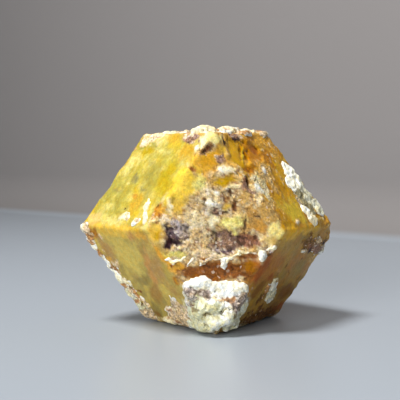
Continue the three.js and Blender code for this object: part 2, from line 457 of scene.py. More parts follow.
# Patches on each face, in the order in which they are laid: finish, place on the face (across,
# up), half sizes (across, up), turn in degrees, strength, and how far the patch stands out in mm
PATCHES = {
    "upper_left": [
        ("olive", (1.2, 1.8), (3.0, 3.6), 0, 0.6, 0),
        ("mustard", (6.0, 1.6), (2.3, 3.4), -20, 0.9, 0),
        ("bright_yellow", (9.3, -0.4), (0.9, 4.0), -20, 0.9, 0),
        ("honey", (8.4, 6.2), (3.0, 2.0), -20, 0.9, 0),
        ("bright_yellow", (3.4, 8.6), (1.9, 1.8), 0, 0.8, 0),
        ("pale_yellow", (0.8, 6.6), (3.0, 0.8), -10, 0.6, 0),
        ("mustard", (-3.0, 6.7), (2.6, 0.6), 0, 0.8, 0),
        ("pale_yellow", (-2.4, 9.2), (4.0, 1.4), 0, 1.0, 0.1),
        ("cream", (-5.1, 8.8), (0.9, 0.8), 0, 0.9, 0.1),
        ("pink_cream", (-3.6, 9.1), (3.2, 1.4), 0, 1.0, 0.1),
        ("honey", (3.4, 9.2), (1.6, 1.0), 0, 0.9, 0),
        ("mauve", (8.0, 9.2), (3.0, 1.4), -15, 1.0, 0.05),
        ("pink_cream", (6.2, 9.6), (1.2, 0.7), 0, 0.7, 0.05),
        ("pink_cream", (9.4, 8.0), (1.2, 0.6), -25, 0.6, 0.05),
        ("pale_yellow", (-6.8, 3.8), (1.6, 3.4), -20, 0.9, 0),
        ("green_yellow", (-8.8, -0.6), (1.4, 3.2), -20, 0.8, 0),
        ("olive_grey", (-3.0, 0.9), (1.3, 1.0), -25, 0.85, -0.05),
        ("pale_yellow", (-4.9, 0.3), (0.6, 0.8), 0, 0.6, 0),
        ("olive_grey", (-0.6, 4.4), (1.4, 0.6), -25, 0.4, 0),
        ("olive_grey", (0.8, -1.0), (2.2, 0.6), -15, 0.6, 0),
        ("olive_grey", (-7.0, -1.4), (2.2, 0.5), 0, 0.5, 0),
        ("olive", (-9.4, -3.6), (1.6, 0.8), 0, 0.5, 0),
        ("honey", (0.8, -4.0), (2.2, 1.9), -50, 0.9, 0),
        ("orange", (-0.5, -2.3), (1.2, 0.5), -25, 0.9, 0),
        ("bright_yellow", (2.2, -5.8), (1.0, 1.2), 0, 0.7, 0),
        ("orange", (1.8, -4.8), (0.5, 0.9), -30, 0.6, 0),
        ("umber", (-2.0, -4.8), (0.3, 0.2), -30, 0.8, -0.1),
        ("peach", (-10.6, -7.2), (2.2, 1.6), 0, 1.0, 0),
        ("pale_yellow", (-4.4, -7.4), (4.2, 1.2), 0, 0.9, 0),
        ("pale_yellow", (-7.8, -5.0), (2.2, 0.9), 0, 0.6, 0),
        ("cream", (-1.2, -6.4), (1.7, 0.8), -12, 0.9, 0.1),
        ("pale_yellow", (6.2, -7.8), (1.2, 1.0), 0, 0.9, 0.1),
        ("russet", (7.2, -4.8), (1.1, 1.7), 22, 1.0, -0.1),
        ("umber", (7.0, -3.9), (0.4, 0.4), 0, 0.6, -0.1),
        ("pink_cream", (6.9, -5.4), (0.5, 0.9), 22, 0.6, 0),
        ("honey", (3.0, -8.6), (4.6, 0.5), 0, 0.8, 0),
        ("cream", (12.2, 9.2), (1.6, 1.3), 0, 1.0, 0.1),
        ("chalk", (10.9, 7.0), (0.7, 0.7), -30, 0.6, 0.1),
        ("gold", (11.3, 5.0), (0.7, 1.4), -20, 0.8, 0),
    ],
    "front": [
        ("sun_yellow", (-5.9, 8.4), (2.2, 4.6), -34, 1.0, 0),
        ("gold", (-6.6, 5.6), (2.4, 1.5), 0, 0.85, 0),
        ("spall_orange", (-1.8, 12.8), (3.2, 2.2), 30, 0.9, -0.25),
        ("gold", (1.0, 14.6), (1.1, 0.9), -40, 0.8, 0),
        ("brown_grit", (-1.6, 14.8), (1.8, 0.6), 38, 1.0, -0.1),
        ("deep_rust", (-1.4, 15.0), (1.5, 0.35), 38, 0.8, -0.1),
        ("rust", (-4.0, 11.3), (1.0, 0.5), -25, 0.9, -0.05),
        ("sugar_gold", (-3.8, 10.6), (0.8, 0.5), -30, 0.8, 0),
        ("sugar_gold", (2.6, 11.8), (1.4, 1.2), -30, 0.8, 0),
        ("mauve", (0.8, 13.2), (1.0, 0.7), 0, 1.0, 0.1),
        ("pink_cream", (0.0, 13.5), (0.4, 0.3), 0, 0.7, 0.05),
        ("cream", (1.7, 11.3), (1.5, 0.6), -10, 1.0, 0.1),
        ("chalk", (1.4, 11.3), (0.9, 0.4), -10, 0.8, 0.05),
        ("lime_cream", (-3.0, 8.8), (1.6, 1.6), 0, 0.8, 0),
        ("glass_mustard", (1.5, 9.4), (2.1, 1.0), 4, 1.0, -0.1),
        ("sugar_gold", (-0.9, 9.4), (0.8, 0.7), 0, 0.7, 0),
        ("apricot", (2.6, 10.0), (0.9, 0.4), 0, 0.7, 0),
        ("tan_frost", (3.8, 10.0), (1.3, 0.25), -15, 0.8, 0.1),
        ("red_mauve", (5.0, 9.0), (1.2, 0.9), -30, 0.9, -0.1),
        ("mauve", (5.4, 7.6), (0.9, 2.0), 20, 0.9, 0.05),
        ("dark_umber", (5.6, 8.9), (0.25, 1.0), 30, 0.8, -0.35),
        ("cream", (2.9, 8.4), (1.6, 0.3), 10, 0.8, 0.05),
        ("sugar_pale", (-1.5, 7.9), (1.5, 0.6), 0, 0.9, 0.05),
        ("brown_grit", (2.3, 6.3), (2.0, 2.0), 0, 0.6, -0.15),
        ("umber", (2.6, 7.6), (0.5, 0.5), 0, 0.7, -0.1),
        ("sugar_gold", (4.8, 6.9), (1.2, 1.1), 0, 0.9, 0.05),
        ("rust", (3.2, 5.4), (0.5, 1.4), -10, 0.8, -0.15),
        ("chalk", (0.1, 7.4), (0.6, 0.4), 0, 0.9, 0.1),
        ("sugar", (-3.2, 5.4), (1.8, 1.3), 0, 0.8, 0),
        ("sugar_grey", (-1.1, 5.2), (1.6, 1.7), 0, 1.0, 0.1),
        ("chalk", (-1.2, 5.9), (0.8, 0.7), 0, 0.9, 0.15),
        ("mauve", (-0.2, 4.4), (0.8, 0.8), 0, 0.8, -0.1),
        ("gold", (1.8, 5.3), (0.9, 0.7), 0, 0.8, 0),
        ("umber", (1.1, 4.2), (1.5, 0.4), 5, 0.8, -0.15),
        ("sugar_tan", (6.3, 3.4), (2.2, 3.0), 0, 1.0, 0),
        ("amber_tan", (7.8, 2.0), (1.4, 1.6), 0, 0.9, 0),
        ("umber", (7.0, 3.4), (0.6, 0.2), 0, 0.8, -0.1),
        ("sugar_gold", (8.9, 4.2), (1.0, 3.4), 34, 1.0, 0.05),
        ("sugar_pale", (7.4, 6.0), (0.8, 0.8), 40, 0.7, 0.1),
        ("pale_gold", (10.3, 0.9), (1.5, 1.3), 0, 1.0, 0),
        ("peach", (9.0, -0.8), (1.4, 1.3), 0, 0.8, 0),
        ("sugar_pale", (-3.4, 2.4), (1.6, 2.0), 0, 0.9, 0.05),
        ("sugar", (-2.6, -0.9), (1.6, 1.4), 0, 0.8, 0),
        ("lime_cream", (2.7, 2.5), (2.5, 1.7), 5, 1.0, 0.2),
        ("olive", (1.6, 3.0), (0.6, 0.5), 0, 0.6, -0.05),
        ("pale_gold", (2.6, 1.9), (1.2, 0.5), 0, 0.8, 0.1),
        ("cream", (-1.1, 3.1), (1.1, 1.4), 10, 1.0, 0.1),
        ("olive_crust", (-0.2, 0.5), (1.0, 0.7), 0, 0.6, -0.1),
        ("mauve", (2.4, -0.6), (3.4, 1.5), 0, 1.0, -0.35),
        ("red_mauve", (5.4, -1.0), (2.2, 1.7), -6, 1.0, -0.35),
        ("mauve", (1.0, -2.0), (2.6, 0.8), -4, 1.0, -0.15),
        ("red_mauve", (7.0, -1.7), (1.5, 0.9), 15, 0.7, 0),
        ("pink_grey", (0.6, -2.1), (1.6, 0.5), -8, 0.8, 0.1),
        ("purple", (1.8, -2.4), (1.6, 0.3), 10, 0.9, -0.1),
        ("umber", (0.0, -0.4), (0.4, 0.8), 0, 0.7, -0.15),
        ("brown_grit", (4.9, 2.0), (0.3, 1.6), 0, 0.8, -0.25),
        ("purple", (-6.3, 0.0), (2.5, 2.2), -8, 1.0, -0.5),
        ("pink_grey", (-6.2, 2.4), (2.2, 0.9), -10, 0.9, 0.0),
        ("pink_grey", (-5.8, 0.5), (1.7, 1.6), -30, 0.9, 0.15),
        ("dark_purple", (-8.0, -1.3), (0.9, 0.8), 15, 1.0, -0.25),
        ("dark_purple", (-6.6, -1.2), (1.5, 0.4), -8, 0.9, -0.2),
        ("pink_grey", (-6.4, -1.9), (0.8, 0.3), 0, 0.7, 0.1),
        ("wax_gold", (-10.0, 0.9), (1.2, 1.7), 0, 1.0, 0),
        ("glass_mustard", (-9.9, 0.4), (0.8, 0.8), 0, 0.8, 0),
        ("apricot", (-9.3, 4.2), (0.9, 1.2), 30, 1.0, 0),
        ("rust", (-9.6, 3.9), (0.4, 0.7), 30, 0.8, -0.1),
        ("cream", (-7.9, 5.8), (0.5, 1.2), 5, 0.8, 0.1),
        ("pink_cream", (-8.7, 3.1), (1.2, 0.7), 0, 0.9, 0.05),
        ("rust", (-10.1, 2.6), (0.3, 0.5), 0, 0.8, 0),
        ("gold", (-8.6, -3.0), (1.2, 0.8), 0, 0.9, 0),
        ("lime_cream", (-6.9, -2.9), (1.9, 0.5), 0, 1.0, 0),
        ("dark_purple", (-8.1, -1.3), (0.9, 0.8), 15, 1.0, -0.1),
        ("amber_band", (0.0, -5.6), (8.4, 2.3), 0, 1.0, -0.2),
        ("rust", (0.4, -5.2), (5.4, 1.7), 0, 0.9, -0.05),
        ("rust", (3.0, -6.6), (3.0, 0.8), 5, 0.9, 0),
        ("deep_rust", (-1.6, -4.9), (2.2, 0.4), 0, 0.4, -0.1),
        ("deep_rust", (2.8, -5.4), (1.4, 0.7), 0, 0.6, 0),
        ("rust", (5.4, -3.4), (1.8, 0.5), -5, 1.0, -0.1),
        ("rust", (-4.8, -5.6), (1.9, 1.2), 0, 0.9, 0),
        ("brown_amber", (5.8, -4.9), (1.4, 1.0), 0, 0.8, 0),
        ("apricot", (-6.4, -4.8), (1.0, 0.8), -30, 0.9, 0),
        ("pink_cream", (-2.0, -2.9), (1.8, 0.7), 0, 0.9, 0.05),
        ("pink_cream", (-0.8, -3.3), (1.4, 0.4), 10, 0.8, 0.1),
        ("pink_grey", (8.9, -2.6), (0.6, 0.4), 0, 0.9, 0.2),
        ("pale_gold", (-0.3, 16.8), (1.4, 1.0), 0, 1.0, 0.1),
        ("olive_crust", (-0.2, -16.8), (3.0, 1.2), 0, 1.0, 0),
    ],
    "upper_right": [
        ("glass_olive", (-9.2, 6.4), (3.6, 3.1), 0, 1.0, -0.4),
        ("glass_amber", (-4.5, 6.6), (3.0, 2.4), 0, 1.0, -0.3),
        ("glass_dark", (-3.0, 7.2), (1.3, 0.8), 0, 0.9, -0.1),
        ("brown_amber", (-8.2, 3.4), (2.2, 0.9), 0, 1.0, -0.1),
        ("olive_gold", (-7.3, 6.2), (0.25, 2.4), -38, 0.8, 0.2),
        ("tan_gold", (1.2, 9.0), (4.6, 1.7), 0, 1.0, 0),
        ("russet", (-3.0, 9.4), (2.4, 0.7), 0, 0.6, 0),
        ("mauve", (-7.2, 9.8), (2.4, 0.9), -8, 1.0, 0),
        ("dark_purple", (-7.6, 9.3), (1.6, 0.4), -8, 0.9, 0),
        ("dark_umber", (-12.0, 8.8), (0.6, 1.1), 10, 0.9, -0.1),
        ("pink_cream", (-5.6, 9.7), (1.0, 0.5), 0, 0.7, 0),
        ("frost", (3.6, 8.4), (1.4, 0.5), 25, 0.5, 0.05),
        ("russet", (0.0, 4.8), (2.6, 1.9), -12, 1.0, 0),
        ("tan_gold", (3.8, 6.2), (1.8, 1.4), -20, 0.8, 0),
        ("deep_honey", (2.0, 2.8), (1.3, 2.4), 12, 0.8, 0),
        ("amber", (-0.6, -0.4), (1.3, 4.0), 8, 1.0, -0.1),
        ("frost", (-7.2, 0.0), (2.6, 2.6), 20, 1.0, 0.1),
        ("tan_frost", (-3.6, 1.4), (2.6, 2.4), 10, 0.9, 0.05),
        ("chalk", (-8.6, -0.6), (0.9, 1.6), 18, 0.7, 0.1),
        ("chalk", (-3.7, 2.7), (0.7, 0.5), 20, 0.9, 0.1),
        ("deep_rust", (-10.2, 0.8), (0.5, 1.0), 0, 0.9, -0.2),
        ("tan_frost", (-6.4, -3.6), (2.0, 1.4), 20, 0.7, 0),
        ("deep_honey", (-3.0, -2.8), (2.4, 1.3), -20, 0.7, 0),
        ("olive_gold", (-0.9, -5.4), (3.6, 2.2), 0, 1.0, 0),
        ("amber", (-4.9, -7.8), (2.6, 1.1), 0, 1.0, 0),
        ("deep_honey", (-3.4, -6.6), (1.2, 0.8), 0, 0.5, 0),
        ("olive_gold", (1.4, -6.6), (2.4, 2.2), 0, 0.9, 0),
        ("pink_cream", (-1.5, -7.7), (1.1, 0.4), 10, 1.0, 0.15),
        ("sugar_grey", (3.7, -4.0), (1.1, 1.8), 26, 0.8, 0),
        ("umber", (8.0, -6.9), (1.3, 0.5), -10, 0.8, 0),
        ("tan_gold", (9.6, -8.0), (1.5, 1.0), 0, 0.9, 0),
        ("cream", (8.8, -7.7), (0.5, 0.4), 0, 0.7, 0.1),
        ("wax_yellow", (2.0, -9.2), (9.0, 0.4), 0, 0.5, 0),
    ],
    "lower_left": [
        ("wax_gold", (-3.0, 9.9), (8.0, 1.1), 0, 1.0, 0),
        ("wax_yellow", (-3.0, 5.4), (5.0, 3.2), -14, 1.0, 0),
        ("wax_dark", (-2.0, -0.2), (3.6, 1.2), 14, 1.0, 0),
        ("wax_olive", (-4.6, -1.4), (1.4, 1.0), 0, 0.7, 0),
        ("wax_tan", (-9.4, 6.2), (1.4, 2.8), 15, 0.9, 0),
        ("wax_pink", (2.6, 2.4), (1.0, 5.4), -16, 0.9, 0),
        ("wax_tan", (5.2, 3.4), (1.8, 3.6), -16, 0.9, 0),
        ("wax_yellow", (4.0, -1.2), (1.4, 1.8), -16, 0.8, 0),
        ("wax_brown", (0.3, -3.0), (1.5, 2.6), -24, 1.0, 0),
        ("wax_brown", (2.4, 6.4), (1.1, 1.4), 0, 0.5, 0),
        ("wax_pink", (1.7, 9.0), (1.4, 0.9), 0, 0.7, 0),
        ("wax_orange", (4.4, 9.8), (2.2, 0.8), 0, 0.7, 0),
        ("russet", (-11.2, 8.9), (2.4, 1.2), 12, 0.9, 0),
        ("pink_cream", (-8.7, 8.6), (0.9, 0.7), 0, 0.8, 0.1),
        ("pink_cream", (-11.6, 9.8), (1.2, 0.5), 0, 0.6, 0.1),
        ("wax_orange", (-10.0, 3.9), (1.0, 0.7), 0, 0.9, 0),
        ("red_mauve", (-11.0, 4.4), (0.5, 0.6), 0, 0.7, 0),
        ("pink_cream", (-10.4, 5.6), (0.7, 1.0), 20, 0.5, 0.1),
        ("pink_cream", (-8.6, 2.9), (1.5, 0.8), 20, 0.9, 0.1),
        ("umber", (-7.6, -2.3), (0.9, 0.35), -10, 0.8, -0.1),
        ("rust", (-5.4, -3.0), (1.2, 0.4), -22, 0.7, 0),
        ("umber", (-6.9, -6.4), (0.9, 0.4), 0, 0.7, 0),
        ("wax_dark", (-3.4, -7.4), (2.0, 1.7), 20, 1.0, 0),
        ("shade_dark", (-3.6, -8.0), (1.0, 0.9), 20, 0.6, 0),
        ("wax_orange", (8.3, 5.0), (0.8, 3.6), 20, 1.0, 0),
        ("rust", (9.0, 3.6), (0.5, 0.5), 0, 0.8, 0),
        ("russet", (8.8, 1.0), (1.1, 1.3), 0, 0.7, 0),
        ("wax_orange", (9.9, 0.6), (0.4, 0.9), 20, 0.6, 0),
        ("red_mauve", (10.2, -0.9), (0.7, 0.7), 0, 0.8, 0),
        ("wax_tan", (6.6, -1.6), (1.4, 1.4), -16, 0.6, 0),
        ("pink_cream", (2.6, -7.2), (2.4, 2.2), 35, 1.0, 0.1),
        ("cream", (4.2, -5.2), (0.8, 0.9), 0, 0.8, 0.1),
        ("pink_cream", (1.4, -9.0), (4.4, 0.7), 0, 0.9, 0.1),
        ("green_cream", (9.4, -6.4), (3.6, 3.2), 0, 1.0, 0.1),
    ],
    "lower_right": [
        # Partly painted light: these two gold bands along the top edge add the glow of light
        # through that edge to the crystal's own colour.
        ("shade_gold", (-4.0, 9.4), (3.6, 1.3), 0, 1.0, 0),
        ("shade_gold", (2.6, 9.6), (4.4, 0.9), 0, 0.8, 0),
        ("shade_red", (-7.8, 2.9), (2.0, 3.2), -20, 1.0, 0),
        ("shade_brown", (-4.4, 2.4), (2.4, 3.4), -20, 0.9, 0),
        ("shade_dark", (-6.0, -2.0), (1.6, 2.4), -30, 1.0, 0),
        ("shade_red", (-3.2, 0.2), (1.6, 1.3), -30, 0.8, 0),
        ("wax_pink", (-1.6, 1.4), (1.2, 0.4), -25, 0.7, 0.05),
        ("shade_grey", (7.0, 0.8), (3.2, 2.2), -20, 0.9, 0),
        ("shade_dark", (6.4, -3.8), (3.0, 1.6), -10, 1.0, 0),
        ("shade_umber", (-2.4, -3.6), (1.3, 3.2), -30, 0.8, -0.05),
        ("brown_grit", (5.6, 6.2), (3.0, 1.5), -15, 1.0, 0.1),
        ("brown_grit", (9.8, 6.6), (3.2, 1.4), -20, 0.9, 0.1),
        ("red_mauve", (6.4, 5.8), (2.0, 0.6), -20, 0.7, 0.1),
        ("dark_purple", (8.2, 4.9), (1.7, 0.6), -15, 1.0, -0.1),
        ("dark_purple", (12.2, 5.9), (1.3, 0.6), -15, 0.9, -0.1),
        ("dark_purple", (4.4, 5.4), (0.7, 0.6), 0, 0.9, -0.1),
        ("pink_cream", (9.8, 7.0), (1.0, 0.5), -20, 0.9, 0.15),
        ("pink_cream", (5.6, 4.6), (0.6, 0.35), 0, 0.8, 0.1),
        ("shade_umber", (3.4, 6.4), (0.8, 0.9), 0, 0.7, 0),
        ("tan_frost", (10.8, 2.4), (1.4, 1.0), 0, 0.6, 0),
        ("pink_cream", (-7.9, 6.8), (0.9, 0.6), 10, 1.0, 0.2),
        ("shade_umber", (-8.2, 5.5), (0.8, 0.4), 0, 0.8, 0),
        ("pink_cream", (-0.3, -0.4), (1.1, 0.4), -35, 0.6, 0.1),
        # Partly painted shade: this wide umber band along the bottom adds the shade low on the
        # face to the crystal's own colour.
        ("shade_umber", (1.4, -8.2), (9.0, 2.0), 0, 1.0, 0),
        ("shade_red", (7.4, -7.6), (2.2, 1.2), -15, 0.8, 0),
        ("shade_dark", (4.4, -6.4), (2.4, 0.8), 0, 0.7, 0),
        ("mauve", (-1.2, -9.0), (1.3, 0.5), 0, 0.7, 0.1),
        ("pink_cream", (-0.4, -7.5), (0.5, 0.3), 0, 0.6, 0.1),
        ("mauve", (5.4, -8.8), (0.9, 0.4), 0, 0.5, 0.1),
        ("grey_crust", (-9.6, -4.8), (3.0, 3.8), -10, 0.9, 0.1),
    ],
    "top": [
        ("pale_gold", (-1.5, -6.0), (3.4, 2.4), 30, 0.9, 0),
        ("lime_cream", (-6.0, 2.0), (3.0, 2.0), -50, 0.9, 0.1),
        ("glass_mustard", (2.2, 2.0), (3.4, 2.4), 20, 0.9, -0.25),
        ("glass_amber", (3.6, 3.0), (1.6, 1.2), 20, 0.9, -0.15),
        ("mauve", (-1.6, 6.4), (2.6, 1.2), -40, 0.9, -0.1),
        ("deep_rust", (1.0, -2.0), (2.6, 0.35), 25, 0.9, -0.2),
        ("frost", (5.4, 0.6), (1.6, 2.4), 35, 0.9, 0.1),
        ("cream", (-3.4, -1.8), (1.4, 0.8), -20, 0.9, 0.1),
        ("pink_cream", (0.6, 10.0), (2.0, 1.4), 0, 0.9, 0.1),
        ("umber", (-4.4, 4.6), (0.5, 1.3), -30, 0.8, -0.15),
    ],
    "back": [
        ("gold", (-1.6, 10.4), (4.0, 3.0), 20, 1.0, 0),
        ("mustard", (1.6, 11.6), (2.2, 1.6), -30, 0.9, -0.2),
        ("pale_gold", (4.4, 5.6), (3.0, 2.2), 40, 0.9, 0.05),
        ("sugar_grey", (-4.6, 4.0), (2.8, 2.4), 0, 0.9, 0.1),
        ("mauve", (1.4, 1.6), (3.2, 2.2), 15, 1.0, -0.4),
        ("purple", (2.4, 0.8), (1.4, 1.0), 15, 0.9, -0.15),
        ("lime_cream", (-1.8, 0.0), (1.6, 1.3), 10, 1.0, 0.2),
        ("brown_grit", (5.8, -1.6), (1.8, 2.6), 0, 0.9, -0.1),
        ("amber_tan", (-6.8, -0.6), (2.0, 2.6), 0, 0.9, 0),
        ("rust", (1.6, -4.8), (4.0, 1.2), -8, 1.0, -0.1),
        ("chalk", (-3.0, 6.6), (0.8, 0.5), 0, 0.9, 0.1),
        ("cream", (-0.4, 5.0), (1.8, 0.5), -15, 0.9, 0.1),
        ("wax_gold", (2.6, -9.4), (3.2, 2.6), 0, 0.9, 0),
        ("umber", (-2.6, 3.0), (0.3, 1.6), -20, 0.8, -0.3),
    ],
    "back_upper_left": [
        ("pale_yellow", (-4.6, 4.6), (3.6, 2.6), 20, 0.9, 0),
        ("olive_grey", (-1.0, 1.4), (2.0, 1.4), 20, 0.9, -0.1),
        ("olive_grey", (3.4, 5.6), (1.6, 0.8), 20, 0.8, -0.05),
        ("mustard", (1.6, -2.0), (3.4, 2.4), 20, 0.9, 0),
        ("mustard", (-6.4, -2.6), (2.6, 1.6), 30, 0.8, -0.15),
        ("pale_gold", (-5.2, -1.2), (2.2, 0.5), 30, 0.7, 0.1),
        ("orange", (0.4, -4.8), (1.8, 0.9), 20, 0.9, 0),
        ("russet", (-1.8, -6.4), (1.8, 0.8), 0, 0.9, -0.05),
        ("cream", (-0.8, 7.6), (3.0, 0.9), 10, 1.0, 0.1),
        ("pink_cream", (-8.4, 1.4), (1.4, 0.9), 60, 0.9, 0.1),
        ("cream", (2.8, -7.0), (1.6, 0.7), -10, 0.9, 0.1),
        ("mauve", (6.6, 7.0), (1.8, 1.0), 20, 0.8, 0),
        ("umber", (2.0, 2.6), (0.25, 0.2), 0, 0.9, -0.1),
        ("umber", (-3.4, -3.4), (0.3, 0.2), 30, 0.9, -0.1),
    ],
    "back_upper_right": [
        ("glass_amber", (5.0, 3.4), (3.0, 2.4), -20, 0.9, -0.2),
        ("glass_olive", (7.4, 4.8), (1.6, 1.6), -20, 0.9, -0.05),
        ("tan_gold", (-2.6, 5.6), (3.6, 2.0), -20, 0.9, 0),
        ("frost", (-5.4, 0.4), (2.2, 2.4), -20, 1.0, 0.1),
        ("tan_frost", (-2.6, 1.6), (1.8, 1.6), 0, 0.9, 0.05),
        ("brown_amber", (1.4, 0.4), (2.4, 1.2), -20, 0.9, -0.1),
        ("olive_gold", (4.4, -3.4), (3.4, 2.0), 0, 0.9, 0),
        ("amber", (0.6, -3.8), (1.8, 1.8), -20, 0.9, 0),
        ("deep_rust", (2.6, 6.4), (1.6, 0.4), -30, 0.9, -0.1),
        ("pink_cream", (0.6, 7.8), (2.4, 0.7), 0, 0.9, 0.1),
        ("mauve", (-7.4, -4.0), (1.4, 1.4), 0, 0.8, 0.05),
        ("chalk", (-4.0, 3.4), (0.7, 0.5), 0, 0.9, 0.1),
    ],
    "back_lower_left": [
        ("wax_gold", (0.0, 8.6), (8.0, 1.0), 0, 1.0, 0),
        ("wax_dark", (-3.4, 1.4), (3.2, 1.6), 15, 0.9, 0),
        ("wax_yellow", (3.6, 3.4), (3.4, 2.2), 15, 0.9, 0),
        ("wax_brown", (1.0, -2.6), (2.6, 1.6), 20, 0.9, 0),
        ("wax_pink", (-6.4, 5.0), (1.2, 2.8), 15, 0.9, 0),
        ("russet", (6.4, 0.0), (1.4, 1.8), 0, 0.9, 0),
        ("pink_cream", (-1.6, -6.6), (3.0, 1.2), 0, 0.9, 0.1),
        ("cream", (-7.6, 0.4), (0.8, 1.4), 15, 0.9, 0.1),
        ("umber", (3.2, -5.6), (1.4, 0.5), 10, 0.8, -0.1),
        ("rust", (-3.0, -3.4), (1.4, 0.5), 15, 0.9, 0),
    ],
    "back_lower_right": [
        # Partly painted light: the gold band along the top edge adds the glow of light through
        # that edge to the crystal's own colour.
        ("shade_gold", (0.0, 8.6), (8.0, 1.0), 0, 1.0, 0),
        ("shade_red", (-6.0, 2.6), (1.8, 2.8), -15, 0.9, 0),
        ("shade_brown", (-2.0, 3.0), (2.6, 2.4), -15, 0.9, 0),
        ("shade_dark", (1.4, -1.6), (2.6, 1.6), -20, 0.9, 0),
        ("wax_gold", (5.6, 3.6), (2.4, 1.8), -15, 0.9, 0),
        ("russet", (-4.4, -2.4), (1.6, 1.0), 0, 0.9, -0.05),
        # Partly painted shade: the umber band along the bottom adds the shade low on the face to
        # the crystal's own colour.
        ("shade_umber", (0.0, -7.4), (6.0, 1.4), 0, 0.9, 0),
        ("mauve", (3.4, -5.8), (1.4, 0.6), -10, 0.8, 0.1),
        ("pink_cream", (-2.4, 6.0), (1.2, 0.5), 0, 0.9, 0.1),
        ("umber", (-0.6, 0.8), (0.3, 0.9), -30, 0.8, -0.1),
    ],
}

# Cloudy cover on each face, laid before the patches: finish, how wide its clouds are in mm, how
# much of the face it covers, how far it is drawn out, the direction it is drawn in, and a seed
VEILS = {
    "upper_left": [
        ("green_yellow", 5.0, 0.50, 1.6, -20, 1),
        ("bright_yellow", 2.4, 0.25, 1.6, -20, 2),
        ("pale_yellow", 1.4, 0.20, 1.4, -20, 3),
        ("olive", 1.8, 0.18, 1.4, -20, 4),
    ],
    "upper_right": [
        ("amber", 3.2, 0.40, 1.5, 20, 6),
        ("tan_gold", 1.6, 0.30, 1.4, 20, 7),
        ("russet", 1.0, 0.18, 1.3, 20, 8),
        ("sugar_gold", 1.0, 0.22, 1.3, 20, 9),
        ("frost", 0.6, 0.05, 1.0, 20, 10),
    ],
    "front": [
        ("sugar_gold", 2.0, 0.30, 1.0, 0, 11),
        ("sugar_pale", 1.4, 0.30, 1.0, 0, 12),
        ("mauve", 0.9, 0.10, 1.0, 0, 13),
        ("cream", 0.7, 0.10, 1.0, 0, 14),
        ("rust", 0.6, 0.05, 1.0, 0, 15),
    ],
    "lower_left": [
        ("wax_tan", 4.0, 0.30, 1.8, -16, 16),
        ("wax_yellow", 2.6, 0.25, 1.6, -16, 17),
        ("wax_dark", 2.0, 0.10, 1.8, -16, 19),
    ],
    "lower_right": [
        ("shade_brown", 3.4, 0.35, 1.5, 20, 20),
        ("shade_grey", 2.6, 0.25, 1.5, 20, 21),
        ("shade_umber", 1.2, 0.04, 1.2, 20, 22),
    ],
    "top": [
        ("amber", 3.0, 0.40, 1.5, 30, 24),
        ("russet", 1.2, 0.20, 1.2, 30, 25),
        ("sugar_gold", 1.6, 0.25, 1.2, 30, 26),
        ("cream", 0.8, 0.10, 1.0, 0, 27),
    ],
    "back": [
        ("sugar_gold", 3.0, 0.35, 1.0, 0, 28),
        ("rust", 1.6, 0.25, 1.5, 30, 29),
        ("sugar_grey", 1.2, 0.20, 1.0, 0, 30),
        ("mauve", 0.9, 0.12, 1.0, 0, 31),
        ("cream", 0.7, 0.08, 1.0, 0, 32),
    ],
    "back_upper_left": [
        ("bright_yellow", 2.4, 0.35, 1.6, 20, 33),
        ("olive_grey", 1.4, 0.15, 1.5, 20, 34),
        ("honey", 1.2, 0.20, 1.5, 20, 35),
    ],
    "back_upper_right": [
        ("amber", 2.6, 0.40, 1.6, -20, 36),
        ("russet", 1.2, 0.20, 1.5, -20, 37),
        ("olive_gold", 1.6, 0.25, 1.5, -20, 38),
    ],
    "back_lower_left": [
        ("wax_tan", 3.0, 0.40, 1.8, 15, 39),
        ("wax_brown", 1.4, 0.15, 1.8, 15, 40),
        ("wax_dark", 1.4, 0.15, 1.8, 15, 41),
    ],
    "back_lower_right": [
        ("shade_brown", 2.6, 0.35, 1.8, -15, 42),
        ("shade_umber", 1.2, 0.10, 1.5, -15, 43),
        ("wax_gold", 1.6, 0.20, 1.5, -15, 44),
    ],
    "bottom": [
        ("umber", 2.0, 0.30, 1.0, 0, 45),
        ("sugar_grey", 1.4, 0.30, 1.0, 0, 46),
        ("cream", 1.0, 0.15, 1.0, 0, 47),
    ],
}

# How far the crust's relief goes in mm, how far its outline wanders, and the spacing of its
# surface in mm
CrustHabit = namedtuple("CrustHabit", "knobs small_knobs unevenness pores raggedness voxel")
SOLID = CrustHabit(0.70, 0.14, 0.7, 0.35, 0.8, 0.16)
THIN = CrustHabit(0.20, 0.14, 0.8, 0.25, 1.1, 0.16)
SMOOTH = CrustHabit(0.10, 0.10, 0.5, 0.12, 1.0, 0.16)
SEAM = CrustHabit(0.05, 0.16, 0.7, 0.1, 0.7, 0.12)
RIDGE_OVERLAP = 0.62  # a ridge lump's half length, as a share of its stretch of the line


def ridge(finish, places, half_width, proud):
    """Lumps end to end along a line on a face."""
    lumps = []
    for start, stop in zip(places, places[1:]):
        across, up = stop[0] - start[0], stop[1] - start[1]
        middle = (start[0] + across / 2, start[1] + up / 2)
        half = (math.hypot(across, up) * RIDGE_OVERLAP, half_width)
        turn = math.degrees(math.atan2(up, across))
        lumps.append((finish, middle, half, turn, proud))
    return lumps


